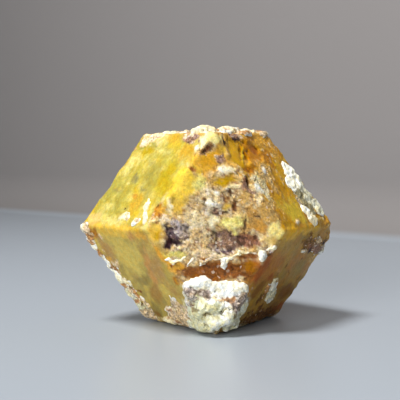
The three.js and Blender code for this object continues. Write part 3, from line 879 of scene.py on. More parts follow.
# The rough crust, by the part of the crystal that it grows on: its habit, and its lumps on each
# face, given as patches are but ending with how far a lump stands out in mm
CRUSTS = {
    "front_corner_crust": (SOLID, {
        "front": [
            ("chalk", (-4.0, -8.9), (1.9, 1.4), 0, 0.6),
            ("chalk", (-2.2, -8.0), (1.3, 1.3), -30, 0.8),
            ("chalk", (-0.9, -9.0), (2.2, 1.5), -30, 0.7),
            ("chalk", (2.3, -9.2), (2.9, 1.7), 0, 0.9),
            ("chalk", (4.0, -9.6), (1.6, 1.6), 0, 0.7),
            ("green_cream", (-3.9, -10.6), (2.0, 1.7), 0, 0.5),
            ("green_cream", (-1.0, -11.6), (2.4, 1.3), 10, 1.5),
            ("grey_crust", (3.3, -11.6), (2.4, 1.8), 0, 0.7),
            ("green_cream", (-3.6, -13.2), (1.8, 1.4), 0, 1.1),
            ("green_cream", (-0.6, -14.2), (2.0, 1.5), 0, 1.6),
            ("green_cream", (2.4, -13.6), (2.0, 1.5), 20, 1.5),
            ("green_cream", (-2.6, -15.6), (1.8, 0.9), 0, 1.4),
        ],
        "lower_left": [
            ("grey_crust", (9.9, -4.4), (0.9, 1.9), 20, 0.5),
            ("green_cream", (9.0, -6.6), (1.6, 2.1), 20, 0.8),
            ("green_cream", (7.6, -8.6), (1.7, 1.2), 0, 0.7),
            ("green_cream", (10.4, -8.2), (2.4, 1.6), 0, 1.4),
        ],
        "lower_right": [
            ("grey_crust", (-10.0, -3.2), (0.9, 1.8), -20, 0.5),
            ("bone", (-9.0, -5.8), (1.5, 2.1), -20, 0.8),
            ("green_cream", (-9.8, -8.3), (2.1, 1.4), 0, 1.1),
        ],
    }),
    "left_edge_crust": (THIN, {
        "lower_left": [
            ("bright_chalk", (-12.9, 5.9), (0.8, 1.7), 20, 0.5),
            ("pink_crust", (-11.9, 3.4), (0.6, 1.6), 20, 0.35),
            ("bright_chalk", (-10.8, 1.4), (0.9, 2.0), 22, 0.4),
            ("bright_chalk", (-9.8, -0.8), (1.1, 1.7), 24, 0.45),
            ("pink_crust", (-8.9, 1.2), (0.5, 1.1), 30, 0.2),
            ("cream", (-7.6, -1.2), (1.2, 0.5), -35, 0.3),
            ("bone", (-8.8, -4.2), (1.2, 2.2), 22, 0.5),
            ("pink_crust", (-6.9, -4.0), (0.7, 1.6), 30, 0.3),
            ("pink_crust", (-5.4, -5.8), (0.6, 2.2), 26, 0.35),
            ("green_cream", (-7.6, -7.2), (1.6, 1.8), 22, 0.5),
            ("pink_crust", (-6.2, -8.6), (1.8, 0.9), -20, 0.4),
        ],
    }),
    "left_corner_crust": (SEAM, {
        "upper_left": [
            ("cream", (-12.4, -9.0), (1.0, 0.9), 0, 0.45),
        ],
        "lower_left": [
            ("pink_crust", (-12.6, 9.8), (1.1, 1.2), 0, 0.75),
            ("rusty_crust", (-12.9, 7.9), (0.9, 1.2), 10, 0.6),
            ("pink_crust", (-11.4, 9.0), (0.7, 0.5), 0, 0.2),
        ],
    }),
    "foot_crust": (THIN, {
        "lower_left": [
            ("pink_crust", (5.0, -5.4), (1.4, 2.0), -15, 0.35),
            ("pink_crust", (6.8, -6.6), (1.6, 2.6), -20, 0.45),
            ("pink_crust", (3.2, -7.2), (2.4, 1.7), -15, 0.5),
            ("cream", (0.4, -8.9), (2.2, 0.9), 0, 0.5),
            ("pink_crust", (4.8, -8.6), (2.2, 1.2), 0, 0.5),
        ],
    }),
    "right_edge_crust": (SMOOTH, {
        "upper_right": [
            ("bright_chalk", (5.3, 2.3), (1.6, 2.0), 20, 0.45),
            ("bright_chalk", (5.7, 0.0), (2.3, 2.3), 24, 0.5),
            ("bright_chalk", (4.8, -1.3), (1.7, 1.4), 14, 0.4),
            ("bright_chalk", (3.6, 0.2), (1.2, 1.3), 0, 0.35),
            ("bone", (7.2, -3.2), (1.8, 1.8), 32, 0.4),
            ("bone", (9.0, -5.3), (1.5, 1.7), 34, 0.35),
            ("olive_crust", (4.6, -3.4), (1.0, 1.4), 24, 0.15),
            ("olive_crust", (6.2, -5.8), (0.8, 1.6), 34, 0.15),
            ("bright_chalk", (4.1, -6.1), (0.8, 1.4), 32, 0.45),
            ("cream", (5.1, -7.6), (1.2, 0.8), 0, 0.35),
        ],
    }),
    "right_side_crust": (THIN, {
        "lower_right": [
            ("cream", (-0.9, -0.7), (1.1, 0.7), -30, 0.25),
            ("chalk", (-0.4, -2.2), (1.1, 1.3), -30, 0.4),
            ("bone", (0.5, -3.9), (1.4, 1.4), 30, 0.45),
            ("rusty_crust", (-2.2, -3.0), (0.8, 1.2), 0, 0.2),
            ("pink_crust", (2.6, -5.0), (0.6, 0.4), -20, 0.2),
        ],
    }),
    "right_corner_crust": (THIN, {
        "lower_right": [
            ("grey_crust", (12.0, 4.4), (1.7, 1.1), -10, 0.35),
            ("pink_crust", (8.9, 6.6), (1.6, 0.8), -30, 0.35),
            ("mauve", (9.6, 5.2), (2.4, 0.9), -20, 0.3),
            ("pink_crust", (5.2, 5.0), (1.6, 0.4), -22, 0.3),
        ],
    }),
    "top_crust": (SMOOTH, {
        "top": [
            ("cream", (-1.6, -12.4), (2.0, 1.5), 0, 1.5),
            ("rusty_crust", (1.6, -11.2), (1.6, 1.2), 55, 0.7),
            ("cream", (2.4, -8.6), (2.0, 1.2), 55, 1.3),
            ("pink_crust", (3.6, -6.4), (2.0, 1.4), 55, 1.2),
            ("rusty_crust", (2.2, -5.4), (2.4, 2.0), 20, 0.6),
            ("cream", (6.4, -3.4), (2.2, 1.1), 55, 0.7),
            ("rusty_crust", (8.9, -0.9), (1.8, 0.9), 55, 0.35),
        ],
        "upper_right": [
            ("pink_crust", (3.4, 10.4), (1.5, 0.8), 0, 0.4),
            ("rusty_crust", (-2.6, 10.8), (1.6, 0.6), 0, 0.35),
        ],
    }),
    "top_back_crust": (THIN, {
        "top": [
            ("green_cream", (-6.6, -2.2), (3.4, 1.9), -50, 0.5),
            ("pink_crust", (-4.6, -4.8), (2.2, 1.4), -50, 0.4),
        ],
    }),
    "front_seam_crust": (SEAM, {
        "front": [
            *ridge("cream", [(-8.4, -3.9), (-7.4, -4.3), (-6.6, -4.0), (-5.3, -3.4)], 0.22, 0.20),
            *ridge("pink_crust", [(-4.9, -4.5), (-3.9, -3.6), (-3.0, -3.7)], 0.18, 0.15),
            *ridge("pink_crust", [(-3.0, -3.7), (-2.2, -4.4), (-0.9, -3.7)], 0.22, 0.18),
            *ridge("pink_crust", [(-0.9, -3.7), (0.7, -3.7)], 0.18, 0.12),
            ("chalk", (1.5, -4.1), (0.9, 0.5), 8, 0.4),
            ("chalk", (1.2, -4.7), (0.5, 0.5), 8, 0.3),
            *ridge("cream", [(2.1, -3.8), (3.2, -2.9), (4.4, -2.6), (5.6, -2.8)], 0.22, 0.2),
            *ridge("pink_crust", [(5.6, -2.8), (7.2, -2.6)], 0.18, 0.12),
            ("chalk", (7.8, -3.2), (0.6, 0.7), -15, 0.45),
            ("chalk", (7.6, -4.0), (0.3, 0.4), -15, 0.3),
            ("cream", (9.5, -2.2), (0.9, 0.3), 20, 0.3),
        ],
    }),
    "left_seam_crust": (SEAM, {
        "upper_left": [
            *ridge("cream", [(4.0, -3.2), (4.6, -5.4), (5.8, -7.2)], 0.55, 0.3),
            ("pink_crust", (3.1, -7.3), (1.1, 0.6), 15, 0.3),
            ("pink_crust", (-1.0, -6.3), (1.3, 0.6), -12, 0.25),
        ],
    }),
    "back_crust": (SOLID, {
        "back": [
            ("chalk", (-4.8, -5.6), (2.4, 2.2), 15, 0.8),
            ("green_cream", (-2.6, -8.4), (3.0, 2.2), 15, 1.1),
            ("green_cream", (0.4, -10.4), (2.0, 1.8), 0, 0.9),
            ("grey_crust", (-1.6, -5.6), (1.8, 1.3), 30, 0.6),
            ("pink_crust", (-5.2, -8.0), (1.6, 1.8), 0, 0.7),
        ],
    }),
    "back_right_crust": (SOLID, {
        "back_lower_right": [
            ("green_cream", (4.2, -2.4), (2.0, 1.7), 30, 0.6),
            ("chalk", (6.4, -4.4), (2.2, 1.9), 30, 0.9),
            ("pink_crust", (8.2, -2.4), (1.5, 2.0), 20, 0.7),
            ("grey_crust", (4.6, -6.2), (2.4, 1.2), 0, 0.5),
        ],
    }),
    "back_left_crust": (THIN, {
        "back_upper_left": [
            ("chalk", (5.4, 4.2), (2.0, 1.8), 20, 0.6),
            ("cream", (7.2, 1.4), (1.9, 2.2), 25, 0.7),
            ("pink_crust", (5.4, 0.6), (1.6, 1.4), 0, 0.4),
            ("pink_crust", (8.4, -1.4), (1.6, 1.8), 30, 0.6),
            ("chalk", (9.4, -4.2), (1.3, 1.6), 30, 0.5),
            ("rusty_crust", (6.8, -3.0), (1.5, 1.0), 10, 0.3),
        ],
    }),
    "back_shoulder_crust": (THIN, {
        "back_upper_right": [
            ("grey_crust", (-4.0, -5.8), (1.8, 1.2), -10, 0.5),
            ("pink_crust", (-1.4, -6.2), (1.8, 1.0), -10, 0.5),
            ("rusty_crust", (1.2, -7.4), (1.8, 0.8), -20, 0.4),
            ("chalk", (-5.8, -4.4), (1.0, 1.2), 20, 0.4),
        ],
    }),
    "back_edge_crust": (THIN, {
        "back": [
            ("chalk", (-6.8, 4.4), (1.0, 2.0), -35, 0.5),
            ("pink_crust", (-5.6, 7.0), (0.9, 1.8), -35, 0.4),
            ("cream", (-8.2, 2.2), (1.0, 1.3), -30, 0.5),
        ],
        "back_upper_right": [
            ("rusty_crust", (8.0, -1.6), (0.9, 1.6), -20, 0.4),
        ],
    }),
}

# Stains, spots and painted shade on the crust, given and laid as the patches on the crystal are
CRUST_PATCHES = {
    "front": [
        # Painted shade: the grey rows here stand for the shadows in the pores of the upper crust.
        ("pore_grey", (-4.4, -9.3), (1.6, 1.2), 0, 1.0, 0),
        ("pore_grey", (-2.2, -9.5), (1.4, 0.9), -20, 1.0, 0),
        ("grey_crust", (-4.2, -10.4), (1.4, 0.7), 0, 0.9, 0),
        ("pink_crust", (0.6, -10.4), (2.0, 0.6), -10, 0.8, 0),
        ("tan_crust", (1.9, -10.5), (1.7, 0.6), -32, 1.0, 0),
        ("pore_grey", (3.8, -10.9), (1.6, 1.3), 0, 0.9, 0),
        ("pore_grey", (4.3, -12.4), (1.2, 0.7), 0, 0.9, 0),
        # Painted shade: these olive rows lie in the valleys between the lower lumps of crust.
        ("olive_crust", (-1.9, -12.9), (1.2, 0.5), 0, 0.9, 0),
        ("olive_crust", (-3.9, -12.2), (0.9, 0.4), 0, 1.0, 0),
        ("olive_crust", (1.5, -12.3), (1.3, 0.8), 20, 0.8, 0),
        ("olive_crust", (3.2, -13.4), (0.8, 0.8), 0, 0.8, 0),
        ("olive_crust", (-2.2, -15.0), (1.0, 0.4), 0, 0.6, 0),
        ("chalk", (-0.4, -14.4), (0.9, 0.9), 0, 0.9, 0),
    ],
    "lower_left": [
        ("rusty_crust", (10.6, -4.6), (0.6, 1.0), 20, 1.0, 0),
        ("olive_crust", (10.2, -6.0), (1.0, 0.6), 0, 0.8, 0),
        ("umber", (-7.4, -2.6), (0.8, 0.35), -20, 0.9, 0),
        ("umber", (-6.3, -6.0), (0.35, 1.2), 30, 0.7, 0),
        ("deep_rust", (-7.6, -3.6), (0.5, 0.5), 0, 0.6, 0),
        ("brown_grit", (-9.6, 2.2), (1.2, 0.8), 0, 0.8, 0),
        ("rusty_crust", (-12.4, 8.2), (1.0, 0.8), 0, 1.0, 0),
        ("cream", (-13.8, 10.4), (1.2, 0.6), 0, 0.9, 0),
        ("rusty_crust", (-12.0, 4.9), (0.8, 0.9), 20, 1.0, 0),
        ("rusty_crust", (-9.4, -2.6), (1.4, 0.7), 20, 0.9, 0),
        ("tan_crust", (-7.9, -5.8), (0.8, 0.8), 20, 0.8, 0),
        ("rusty_crust", (-9.4, 1.6), (0.5, 1.2), 30, 0.9, 0),
        ("rusty_crust", (-6.4, -3.6), (0.5, 1.6), 30, 0.9, 0),
        ("umber", (-7.5, -1.9), (0.5, 0.3), -30, 0.9, 0),
        ("tan_crust", (0.8, -8.2), (1.2, 0.5), 0, 0.9, 0),
        ("tan_crust", (3.2, -8.6), (1.0, 0.5), 0, 0.9, 0),
        ("tan_crust", (2.4, -6.0), (0.8, 0.5), 0, 0.8, 0),
    ],
    "upper_right": [
        ("olive_crust", (6.6, -2.4), (1.2, 0.5), -30, 0.7, 0),
        ("rusty_crust", (8.0, -7.4), (1.0, 0.5), 0, 0.8, 0),
    ],
}


def by_face(table):
    """Every row of a table kept by face, each with its face."""
    return [(FACES[name], row) for name, rows in table.items() for row in rows]


def linear(tint):
    """A colour given from 0 to 255 as it looks, in the light units that shaders use."""
    share = np.array(tint, float) / 255
    return np.where(share <= 0.04045, share / 12.92, ((share + 0.055) / 1.055) ** 2.4)


EDGE_BLEND = 0.35  # mm, how softly one face's finish gives way to the next face's
VEIL_DEPTH = 1.5  # mm, how deep a veil reaches into the edges around its face
VEIL_STRENGTH = 0.85
PATCH_THICKNESS = 2.0  # mm, how deep a patch reaches into the edges around its face
STIPPLES = 3  # how many patterns of grains the edges of patches break up into
STIPPLE_SIZE = 1.1  # mm
ROUGHNESS, GRAIN, SPECKLE, RELIEF = range(4)  # the columns of a skin's values

# How the outline of a patch wanders: how wide the bends are in mm, their seed, the most that they
# move it in mm, and the most that they move it as a share of the patch's smaller half size
Warp = namedtuple("Warp", "cell seed most share")
WARPS = (Warp(2.6, 51, 1.2, 0.5), Warp(0.9, 61, 0.5, 0.4), Warp(0.4, 71, 0.2, 0.3))


class Skin:
    """What a surface is made of at each of its points."""

    def __init__(self, points):
        self.points = points
        self.tint = np.zeros((len(points), 3))
        self.values = np.zeros((len(points), 4))
        self.bends = [
            np.stack([cloud(points, warp.cell, warp.seed + axis, 2) for axis in range(3)], axis=1)
            for warp in WARPS
        ]
        self.stipples = [
            0.5 + 0.38 * cloud(points, STIPPLE_SIZE, 80 + number, 4, fade=0.8)
            for number in range(STIPPLES)
        ]

    def lay(self, finish_name, where, weight):
        """Lays a finish on the points numbered in where, as strongly as weight says."""
        finish = FINISHES[finish_name]
        target = np.array((finish.roughness, finish.grain, finish.speckle, 0.0))
        weight = weight[:, None]
        self.tint[where] += weight * (linear(finish.tint) - self.tint[where])
        change = weight * (target - self.values[where])
        change[:, RELIEF] = 0
        self.values[where] += change

    def lay_bases(self):
        """Each face's own finish, blended over the edges between faces."""
        points = self.points + 0.4 * self.bends[0] + 0.3 * self.bends[1]
        heights = np.stack([points @ face.normal - face.reach for face in FACES.values()])
        weights = np.exp((heights - heights.max(axis=0)) / EDGE_BLEND)
        weights /= weights.cumsum(axis=0)
        everywhere = np.arange(len(points))
        for name, weight in zip(FACES, weights):
            self.lay(BASES[name], everywhere, weight)

    def lay_veil(self, face, veil):
        """Lays a finish in clouds over its share of a face."""
        finish_name, cell, share, stretch, turn, seed = veil
        where = np.nonzero(self.points @ face.normal > face.reach - VEIL_DEPTH)[0]
        _, along = face.turned_axes(turn)
        place = self.points[where]
        drawn = place - np.outer(place @ along, along) * (1 - 1 / stretch)
        level = cloud(drawn, cell, 300 + 17 * seed, 4, fade=0.6)
        level += 0.3 * (self.stipples[seed % STIPPLES][where] - 0.5) * stippled(finish_name)
        edge = np.quantile(level, 1 - share)
        softness = 0.7 - 0.55 * stippled(finish_name)
        cover = step(edge - softness, edge + softness, level)
        cover *= step(-VEIL_DEPTH, 1.0 - VEIL_DEPTH, place @ face.normal - face.reach)
        self.lay(finish_name, where, VEIL_STRENGTH * cover)

    def lay_patch(self, face, patch, order):
        """Lays a finish on one patch, with an edge as ragged as the finish is rough."""
        finish_name, at, half, turn, strength, out = patch
        across, up = face.turned_axes(turn)
        middle = face.point(*at)
        reach = 1.6 * max(half) + 1.5
        where = np.nonzero(((self.points - middle) ** 2).sum(axis=1) < reach**2)[0]
        place = self.points[where] - middle
        for bend, warp in zip(self.bends, WARPS):
            place = place + bend[where] * min(warp.most, warp.share * min(half))
        spread = np.sqrt(
            (place @ across / half[0]) ** 2
            + (place @ up / half[1]) ** 2
            + (place @ face.normal / PATCH_THICKNESS) ** 2
        )
        rough = stippled(finish_name)
        level = strength * (1.5 - spread)
        edge = rough * self.stipples[order % STIPPLES][where]
        self.lay(finish_name, where, step(edge, edge + 1.0 - 0.7 * rough, level))
        self.values[where, RELIEF] += out * (1 - step(0.75, 1.2, spread))


def stippled(finish_name):
    """How grainy the edge of a finish is: 0 is blended, 1 is broken up grain by grain."""
    return min(1.0, 0.1 + 1.8 * FINISHES[finish_name].speckle)


# ---- Shapes grown from fields ----------------------------------------------------------------

EDGE_ROUNDING = 0.5  # mm
FOOT_ROUNDING = 1.0  # mm, more rounding where the crystal meets the floor
WEAR_REACH = 3.0  # mm, how far around an edge it can be worn
SOUND_CORNER = (-21.5, -18.0)  # mm across, where wear fades out towards the left corner
SKIRT = 0.8  # mm, how deep the crust reaches into the crystal
CRUST_CLEARANCE = 0.3  # mm between the crust and the floor
LUMP_DEPTH = 3.0  # mm, how far a lump of crust reaches around the edges of its face
CRUST_STEEPNESS = 0.6  # brings a field made steep by knobs and pores back near true distances
BOX_MARGIN = 1.0  # mm of room around the crystal in the box that it is grown in


def height_over_faces(place, rounding):
    """How far a place stands out of the solid that the flat faces enclose: below 0 is inside."""
    height = None
    for name, face in FACES.items():
        plane = place.dot(face.normal) - face.reach
        extra = FOOT_ROUNDING if name == "bottom" else 0.0
        height = plane if height is None else height.higher(plane, rounding + extra)
    return height


def above_floor(place, surface):
    """Cuts a shape off where it would reach below what the crystal stands on."""
    return surface.higher(place.dot((0, 0, -1)) - CENTRE_HEIGHT, 0.01)


def volume_mesh(graph, surface, low, high, voxel):
    """The surface where a field turns from inside (below 0) to outside, within a box in mm."""
    counts = [int(round((top - bottom) / voxel)) + 1 for bottom, top in zip(low, high)]
    inputs = {"Density": -surface, "Background": -5.0, "Min": tuple(low), "Max": tuple(high)}
    inputs.update({f"Resolution {axis}": count for axis, count in zip("XYZ", counts)})
    volume = graph.node("GeometryNodeVolumeCube", inputs)
    settings = {"resolution_mode": "GRID"}
    return graph.node("GeometryNodeVolumeToMesh", {"Volume": volume, "Threshold": 0.0}, **settings)


def without_specks(graph, mesh):
    """A mesh without its loose specks and without the bubbles inside it."""
    loose_part = graph.node("GeometryNodeInputMeshIsland")
    size_inputs = {"Value": 1.0, "Group ID": loose_part}
    size = graph.node("GeometryNodeAccumulateField", size_inputs, "Total")
    speck = graph.maths("LESS_THAN", (size, SPECK_POINTS), False)
    return graph.node("GeometryNodeDeleteGeometry", {"Geometry": mesh, "Selection": speck})


def habit_tree(material):
    """The crystal: twelve flat faces, with swells on them and wear along its edges."""
    defaults = {"Edge wear": 1.0, "Undulation": 0.25}
    graph, given = geometry_graph("garnet_habit", defaults)
    place = graph.node("GeometryNodeInputPosition")
    height = height_over_faces(place, EDGE_ROUNDING)
    near_edge = (height_over_faces(place, WEAR_REACH) - height).lower(0.3, 0.2)
    worn = graph.noise(place, 3.0, detail=3.0, seed=2.0)
    swell = graph.noise(place, 5.0, detail=3.0, seed=5.0)
    sound_corner = place.dot((1.0, 0.0, 0.0)).span(*SOUND_CORNER)
    wear = near_edge * worn.span(0.35, 0.7) * sound_corner * given["Edge wear"]
    surface = above_floor(place, height + wear + (swell - 0.5) * given["Undulation"])
    low = [bound / MM - BOX_MARGIN for bound in cad_low]
    high = [bound / MM + BOX_MARGIN for bound in cad_high]
    low[2] -= CENTRE_HEIGHT
    high[2] -= CENTRE_HEIGHT
    mesh = volume_mesh(graph, surface, low, high, BODY_VOXEL)
    close_geometry_graph(graph, mesh, material)
    return graph.tree


def lump_thickness(place, lumps):
    """How thick the lumps make the crust at a place, run together where they meet."""
    thickness = None
    for face, (_, at, half, turn, proud) in lumps:
        across, up = face.turned_axes(turn)
        offset = place - face.point(*at)
        beside = offset.dot(across) / half[0]
        along = offset.dot(up) / half[1]
        off_face = offset.dot(face.normal) / LUMP_DEPTH
        spread = beside * beside + along * along + off_face * off_face
        lump = ((1.2 - spread) * 2.0).lower(0.9 - spread * 0.4, 0.4) * proud
        thickness = lump if thickness is None else thickness.higher(lump, 0.4)
    return thickness


def weathered(graph, place, ragged, thickness, given):
    """A crust's thickness with its knobs, uneven ground and pores."""
    knobs = (0.5 - graph.cells(place + ragged, 2.3, seed=1.0)) * given["Knobs"]
    small = (0.5 - graph.cells(place + ragged * 0.5, 0.7, seed=2.0)) * given["Small knobs"]
    uneven = graph.noise(place, 1.4, detail=4.0, roughness=0.6, seed=6.0) - 0.5
    pores = graph.cells(place + ragged * 0.5, 0.9, seed=8.0).span(0.12, 0.34, 1.0, 0.0)
    pores = pores * graph.noise(place, 2.2, detail=1.0, seed=9.0).span(0.45, 0.6)
    thickness = thickness + knobs + small + uneven * given["Unevenness"] * 2.0
    return thickness - pores * given["Pores"]


def crust_box(lumps):
    """The lowest and the highest corner of the box that some lumps need, in mm."""
    middles = np.array([face.point(*at) for face, (_, at, *_) in lumps])
    margins = np.array([max(half) * 1.2 + 1.5 for _, (_, _, half, *_) in lumps])[:, None]
    low = (middles - margins).min(axis=0)
    low[2] = max(low[2], -CENTRE_HEIGHT - 0.5)
    return low, (middles + margins).max(axis=0)


def crust_tree(name, habit, lumps, material):
    """Crust over the crystal's surface: as thick as its lumps say, uneven and knobbly."""
    labels = ("Knobs", "Small knobs", "Unevenness", "Pores", "Raggedness")
    graph, given = geometry_graph(name, dict(zip(labels, habit)))
    place = graph.node("GeometryNodeInputPosition")
    height = height_over_faces(place, EDGE_ROUNDING)
    ragged = (graph.noise_vector(place, 1.7, seed=3.0) - 0.5) * 1.8
    ragged = ragged + (graph.noise_vector(place, 0.6, seed=4.0) - 0.5) * 0.9
    ragged = ragged.scaled(given["Raggedness"])
    thickness = lump_thickness(place + ragged, lumps)
    thickness = weathered(graph, place, ragged, thickness, given)
    surface = (height - thickness) * CRUST_STEEPNESS
    surface = surface.higher((height + SKIRT) * -1.0, 0.05)
    surface = surface.higher(place.dot((0, 0, -1)) - (CENTRE_HEIGHT - CRUST_CLEARANCE), 0.8)
    mesh = volume_mesh(graph, surface, *crust_box(lumps), habit.voxel)
    close_geometry_graph(graph, without_specks(graph, mesh), material)
    return graph.tree


def mesh_arrays(mesh):
    """The place and the outward direction of each point of a mesh."""
    points = np.empty(len(mesh.vertices) * 3)
    mesh.vertices.foreach_get("co", points)
    normals = np.empty(len(mesh.vertices) * 3)
    mesh.vertices.foreach_get("normal", normals)
    return points.reshape(-1, 3), normals.reshape(-1, 3)


def hollows(mesh, points, normals, rounds):
    """How deep each point lies below its neighbours, in mm: above 0 in a hollow."""
    ends = np.empty(len(mesh.edges) * 2, int)
    mesh.edges.foreach_get("vertices", ends)
    ends = ends.reshape(-1, 2)
    count = np.maximum(np.bincount(ends.ravel(), minlength=len(points)), 1)
    level = points.copy()
    for _ in range(rounds):
        sums = [
            np.bincount(ends[:, 0], level[ends[:, 1], axis], len(points))
            + np.bincount(ends[:, 1], level[ends[:, 0], axis], len(points))
            for axis in range(3)
        ]
        level = np.stack(sums, axis=1) / count[:, None]
    return ((level - points) * normals).sum(axis=1)


def store(mesh, name, values):
    """Keeps one number or one colour for each point of a mesh."""
    if values.ndim == 1:
        mesh.attributes.new(name, "FLOAT", "POINT").data.foreach_set("value", values)
        return
    with_alpha = np.concatenate([values, np.ones((len(values), 1))], axis=1)
    mesh.attributes.new(name, "FLOAT_COLOR", "POINT").data.foreach_set("color", with_alpha.ravel())


def settle(piece, points):
    """Puts a shape worked out in mm from the crystal's centre into the frame's own metres."""
    points = points.copy()
    points[:, 2] = np.maximum(points[:, 2], -CENTRE_HEIGHT) + CENTRE_HEIGHT
    piece.data.vertices.foreach_set("co", (points * MM).ravel())
    piece.data.update()
    piece.data.shade_smooth()


HOLLOW_ROUNDS = 4  # how far around a point its hollow is measured, in steps along the mesh
HOLLOW_CONTRAST = 4.0  # how fast the stored value leaves 0.5, which is level, for each mm


def finish_surface(piece, points, skin):
    """Settles a shape and stores what its material reads."""
    mesh = piece.data
    settle(piece, points)
    points_now, normals_now = mesh_arrays(mesh)
    hollow = hollows(mesh, points_now / MM, normals_now, HOLLOW_ROUNDS)
    store(mesh, "tint", skin.tint)
    store(mesh, "polish", skin.values[:, ROUGHNESS])
    store(mesh, "speckle", skin.values[:, SPECKLE])
    # how deep each point lies in a hollow; the materials darken the colour there as painted shade
    store(mesh, "hollow", np.clip(0.5 + hollow * HOLLOW_CONTRAST, 0, 1))


def grain_relief(points, grain):
    """How far grains of two sizes stand out or lie low, in mm, where a finish has them."""
    joint, shade = grains(points, 0.75, 31)
    fine_joint, _ = grains(points, 0.4, 47)
    rough = grain * (1.4 * step(0.0, 0.45, joint) - 0.9 + 0.5 * step(0.0, 0.4, fine_joint))
    return rough + grain * 1.5 * (shade - 0.5)


def make_crystal(material):
    """The crystal's body: grown, given its finishes, and roughened where they are grainy."""
    piece = grown("garnet_body", habit_tree(material))
    points, normals = mesh_arrays(piece.data)
    skin = Skin(points)
    skin.lay_bases()
    for face, veil in by_face(VEILS):
        skin.lay_veil(face, veil)
    for name, patches in PATCHES.items():
        for order, patch in enumerate(patches):
            skin.lay_patch(FACES[name], patch, order)
    rough = grain_relief(points, skin.values[:, GRAIN])
    lift = skin.values[:, RELIEF] + rough + 0.03 * cloud(points, 1.2, 3)
    finish_surface(piece, points + normals * lift[:, None], skin)
    return piece


def make_crust(name, habit, lumps, material):
    """One growth of crust: chalk, with each lump's own finish, then stains and painted shade."""
    piece = grown(name, crust_tree(name, habit, lumps, material))
    points, _ = mesh_arrays(piece.data)
    skin = Skin(points)
    skin.lay("chalk", np.arange(len(points)), np.ones(len(points)))
    widening = 1.1 if habit is SOLID else 1.5  # a thin lump's finish reaches further past it
    for order, (face, (finish_name, at, half, turn, _)) in enumerate(lumps):
        wider = (half[0] * widening, half[1] * widening)
        skin.lay_patch(face, (finish_name, at, wider, turn, 1.0, 0), order)
    for order, (face, patch) in enumerate(by_face(CRUST_PATCHES)):
        skin.lay_patch(face, patch, order)
    finish_surface(piece, points, skin)
    return piece


def grains_tree(name, material):
    """Grains stuck on a piece, most where it is most speckled, each a little off its tint."""
    graph, given = geometry_graph(name, {"Density": 5.0, "Size": 0.14, "Seed": 1.0})
    speckle = graph.node("GeometryNodeInputNamedAttribute", {"Name": "speckle"})
    place = graph.node("GeometryNodeInputPosition").scaled(1 / MM)
    patchy = graph.noise(place, 1.6, detail=2.0, seed=12.0).span(0.4, 0.6, 0.25, 1.0)
    density = speckle.span(0.2, 0.6) * patchy * given["Density"] / MM**2
    scatter_inputs = {"Mesh": given["Geometry"], "Density": density, "Seed": given["Seed"]}
    spots = graph.node("GeometryNodeDistributePointsOnFaces", scatter_inputs, "Points")
    grain = graph.node("GeometryNodeMeshIcoSphere", {"Radius": MM, "Subdivisions": 1})

    def chosen(seed, low, high):
        inputs = {0: (low,) * 3, 1: (high,) * 3, "Seed": seed}
        return graph.node("FunctionNodeRandomValue", inputs, data_type="FLOAT_VECTOR")

    size = chosen(1, 0.5, 1.5) * chosen(2, 0.6, 1.2)
    full_turn = 6.28
    laid_inputs = {"Points": spots, "Instance": grain, "Rotation": chosen(3, 0.0, full_turn)}
    laid_inputs["Scale"] = size.scaled(given["Size"])
    laid = graph.node("GeometryNodeInstanceOnPoints", laid_inputs)
    settings = {"data_type": "FLOAT_COLOR"}
    tint = graph.node("GeometryNodeInputNamedAttribute", {"Name": "tint"}, **settings)
    shade = chosen(4, 0.75, 1.4).dot((1.0, 0.0, 0.0))
    settings["domain"] = "INSTANCE"
    shaded_inputs = {"Geometry": laid, "Name": "tint", "Value": tint.scaled(shade)}
    shaded = graph.node("GeometryNodeStoreNamedAttribute", shaded_inputs, **settings)
    close_geometry_graph(graph, shaded, material)
    return graph.tree


def make_grains(name, base, material, density, size):
    """Loose grains on a piece: at most density for each square mm, about size mm in radius."""
    values = {"Density": density, "Size": size}
    return grown(name, grains_tree(name, material), values, base)


# ---- Materials -------------------------------------------------------------------------------

WARM_WASH = (1.0, 0.96, 0.8, 1.0)
COOL_WASH = (0.97, 1.05, 1.2, 1.0)
DARK_GRIT = (0.08, 0.045, 0.03, 1.0)
PALE_GRIT = (0.72, 0.62, 0.5, 1.0)


def surface_graph(name):
    """A new material, with its graph, its shader and the place on the piece in mm."""
    material = bpy.data.materials.new(name)
    material.use_nodes = True
    graph = Graph(material.node_tree)
    shader = material.node_tree.nodes["Principled BSDF"]
    place = graph.node("ShaderNodeTexCoord", output="Object").scaled(1 / MM)
    return material, graph, shader, place


def kept(graph, name, output="Fac"):
    """What a piece keeps under this name for each of its points."""
    return graph.node("ShaderNodeAttribute", output=output, attribute_name=name)


def gritty(graph, colour, pattern, speckle, grit_colour):
    """A colour with single grains of another one in it, more of them where it is speckled."""
    grit = (pattern + speckle * 0.16 - 0.02).span(1.0, 1.03, 0.0, 0.6)
    return graph.mixed(grit, colour, grit_colour)


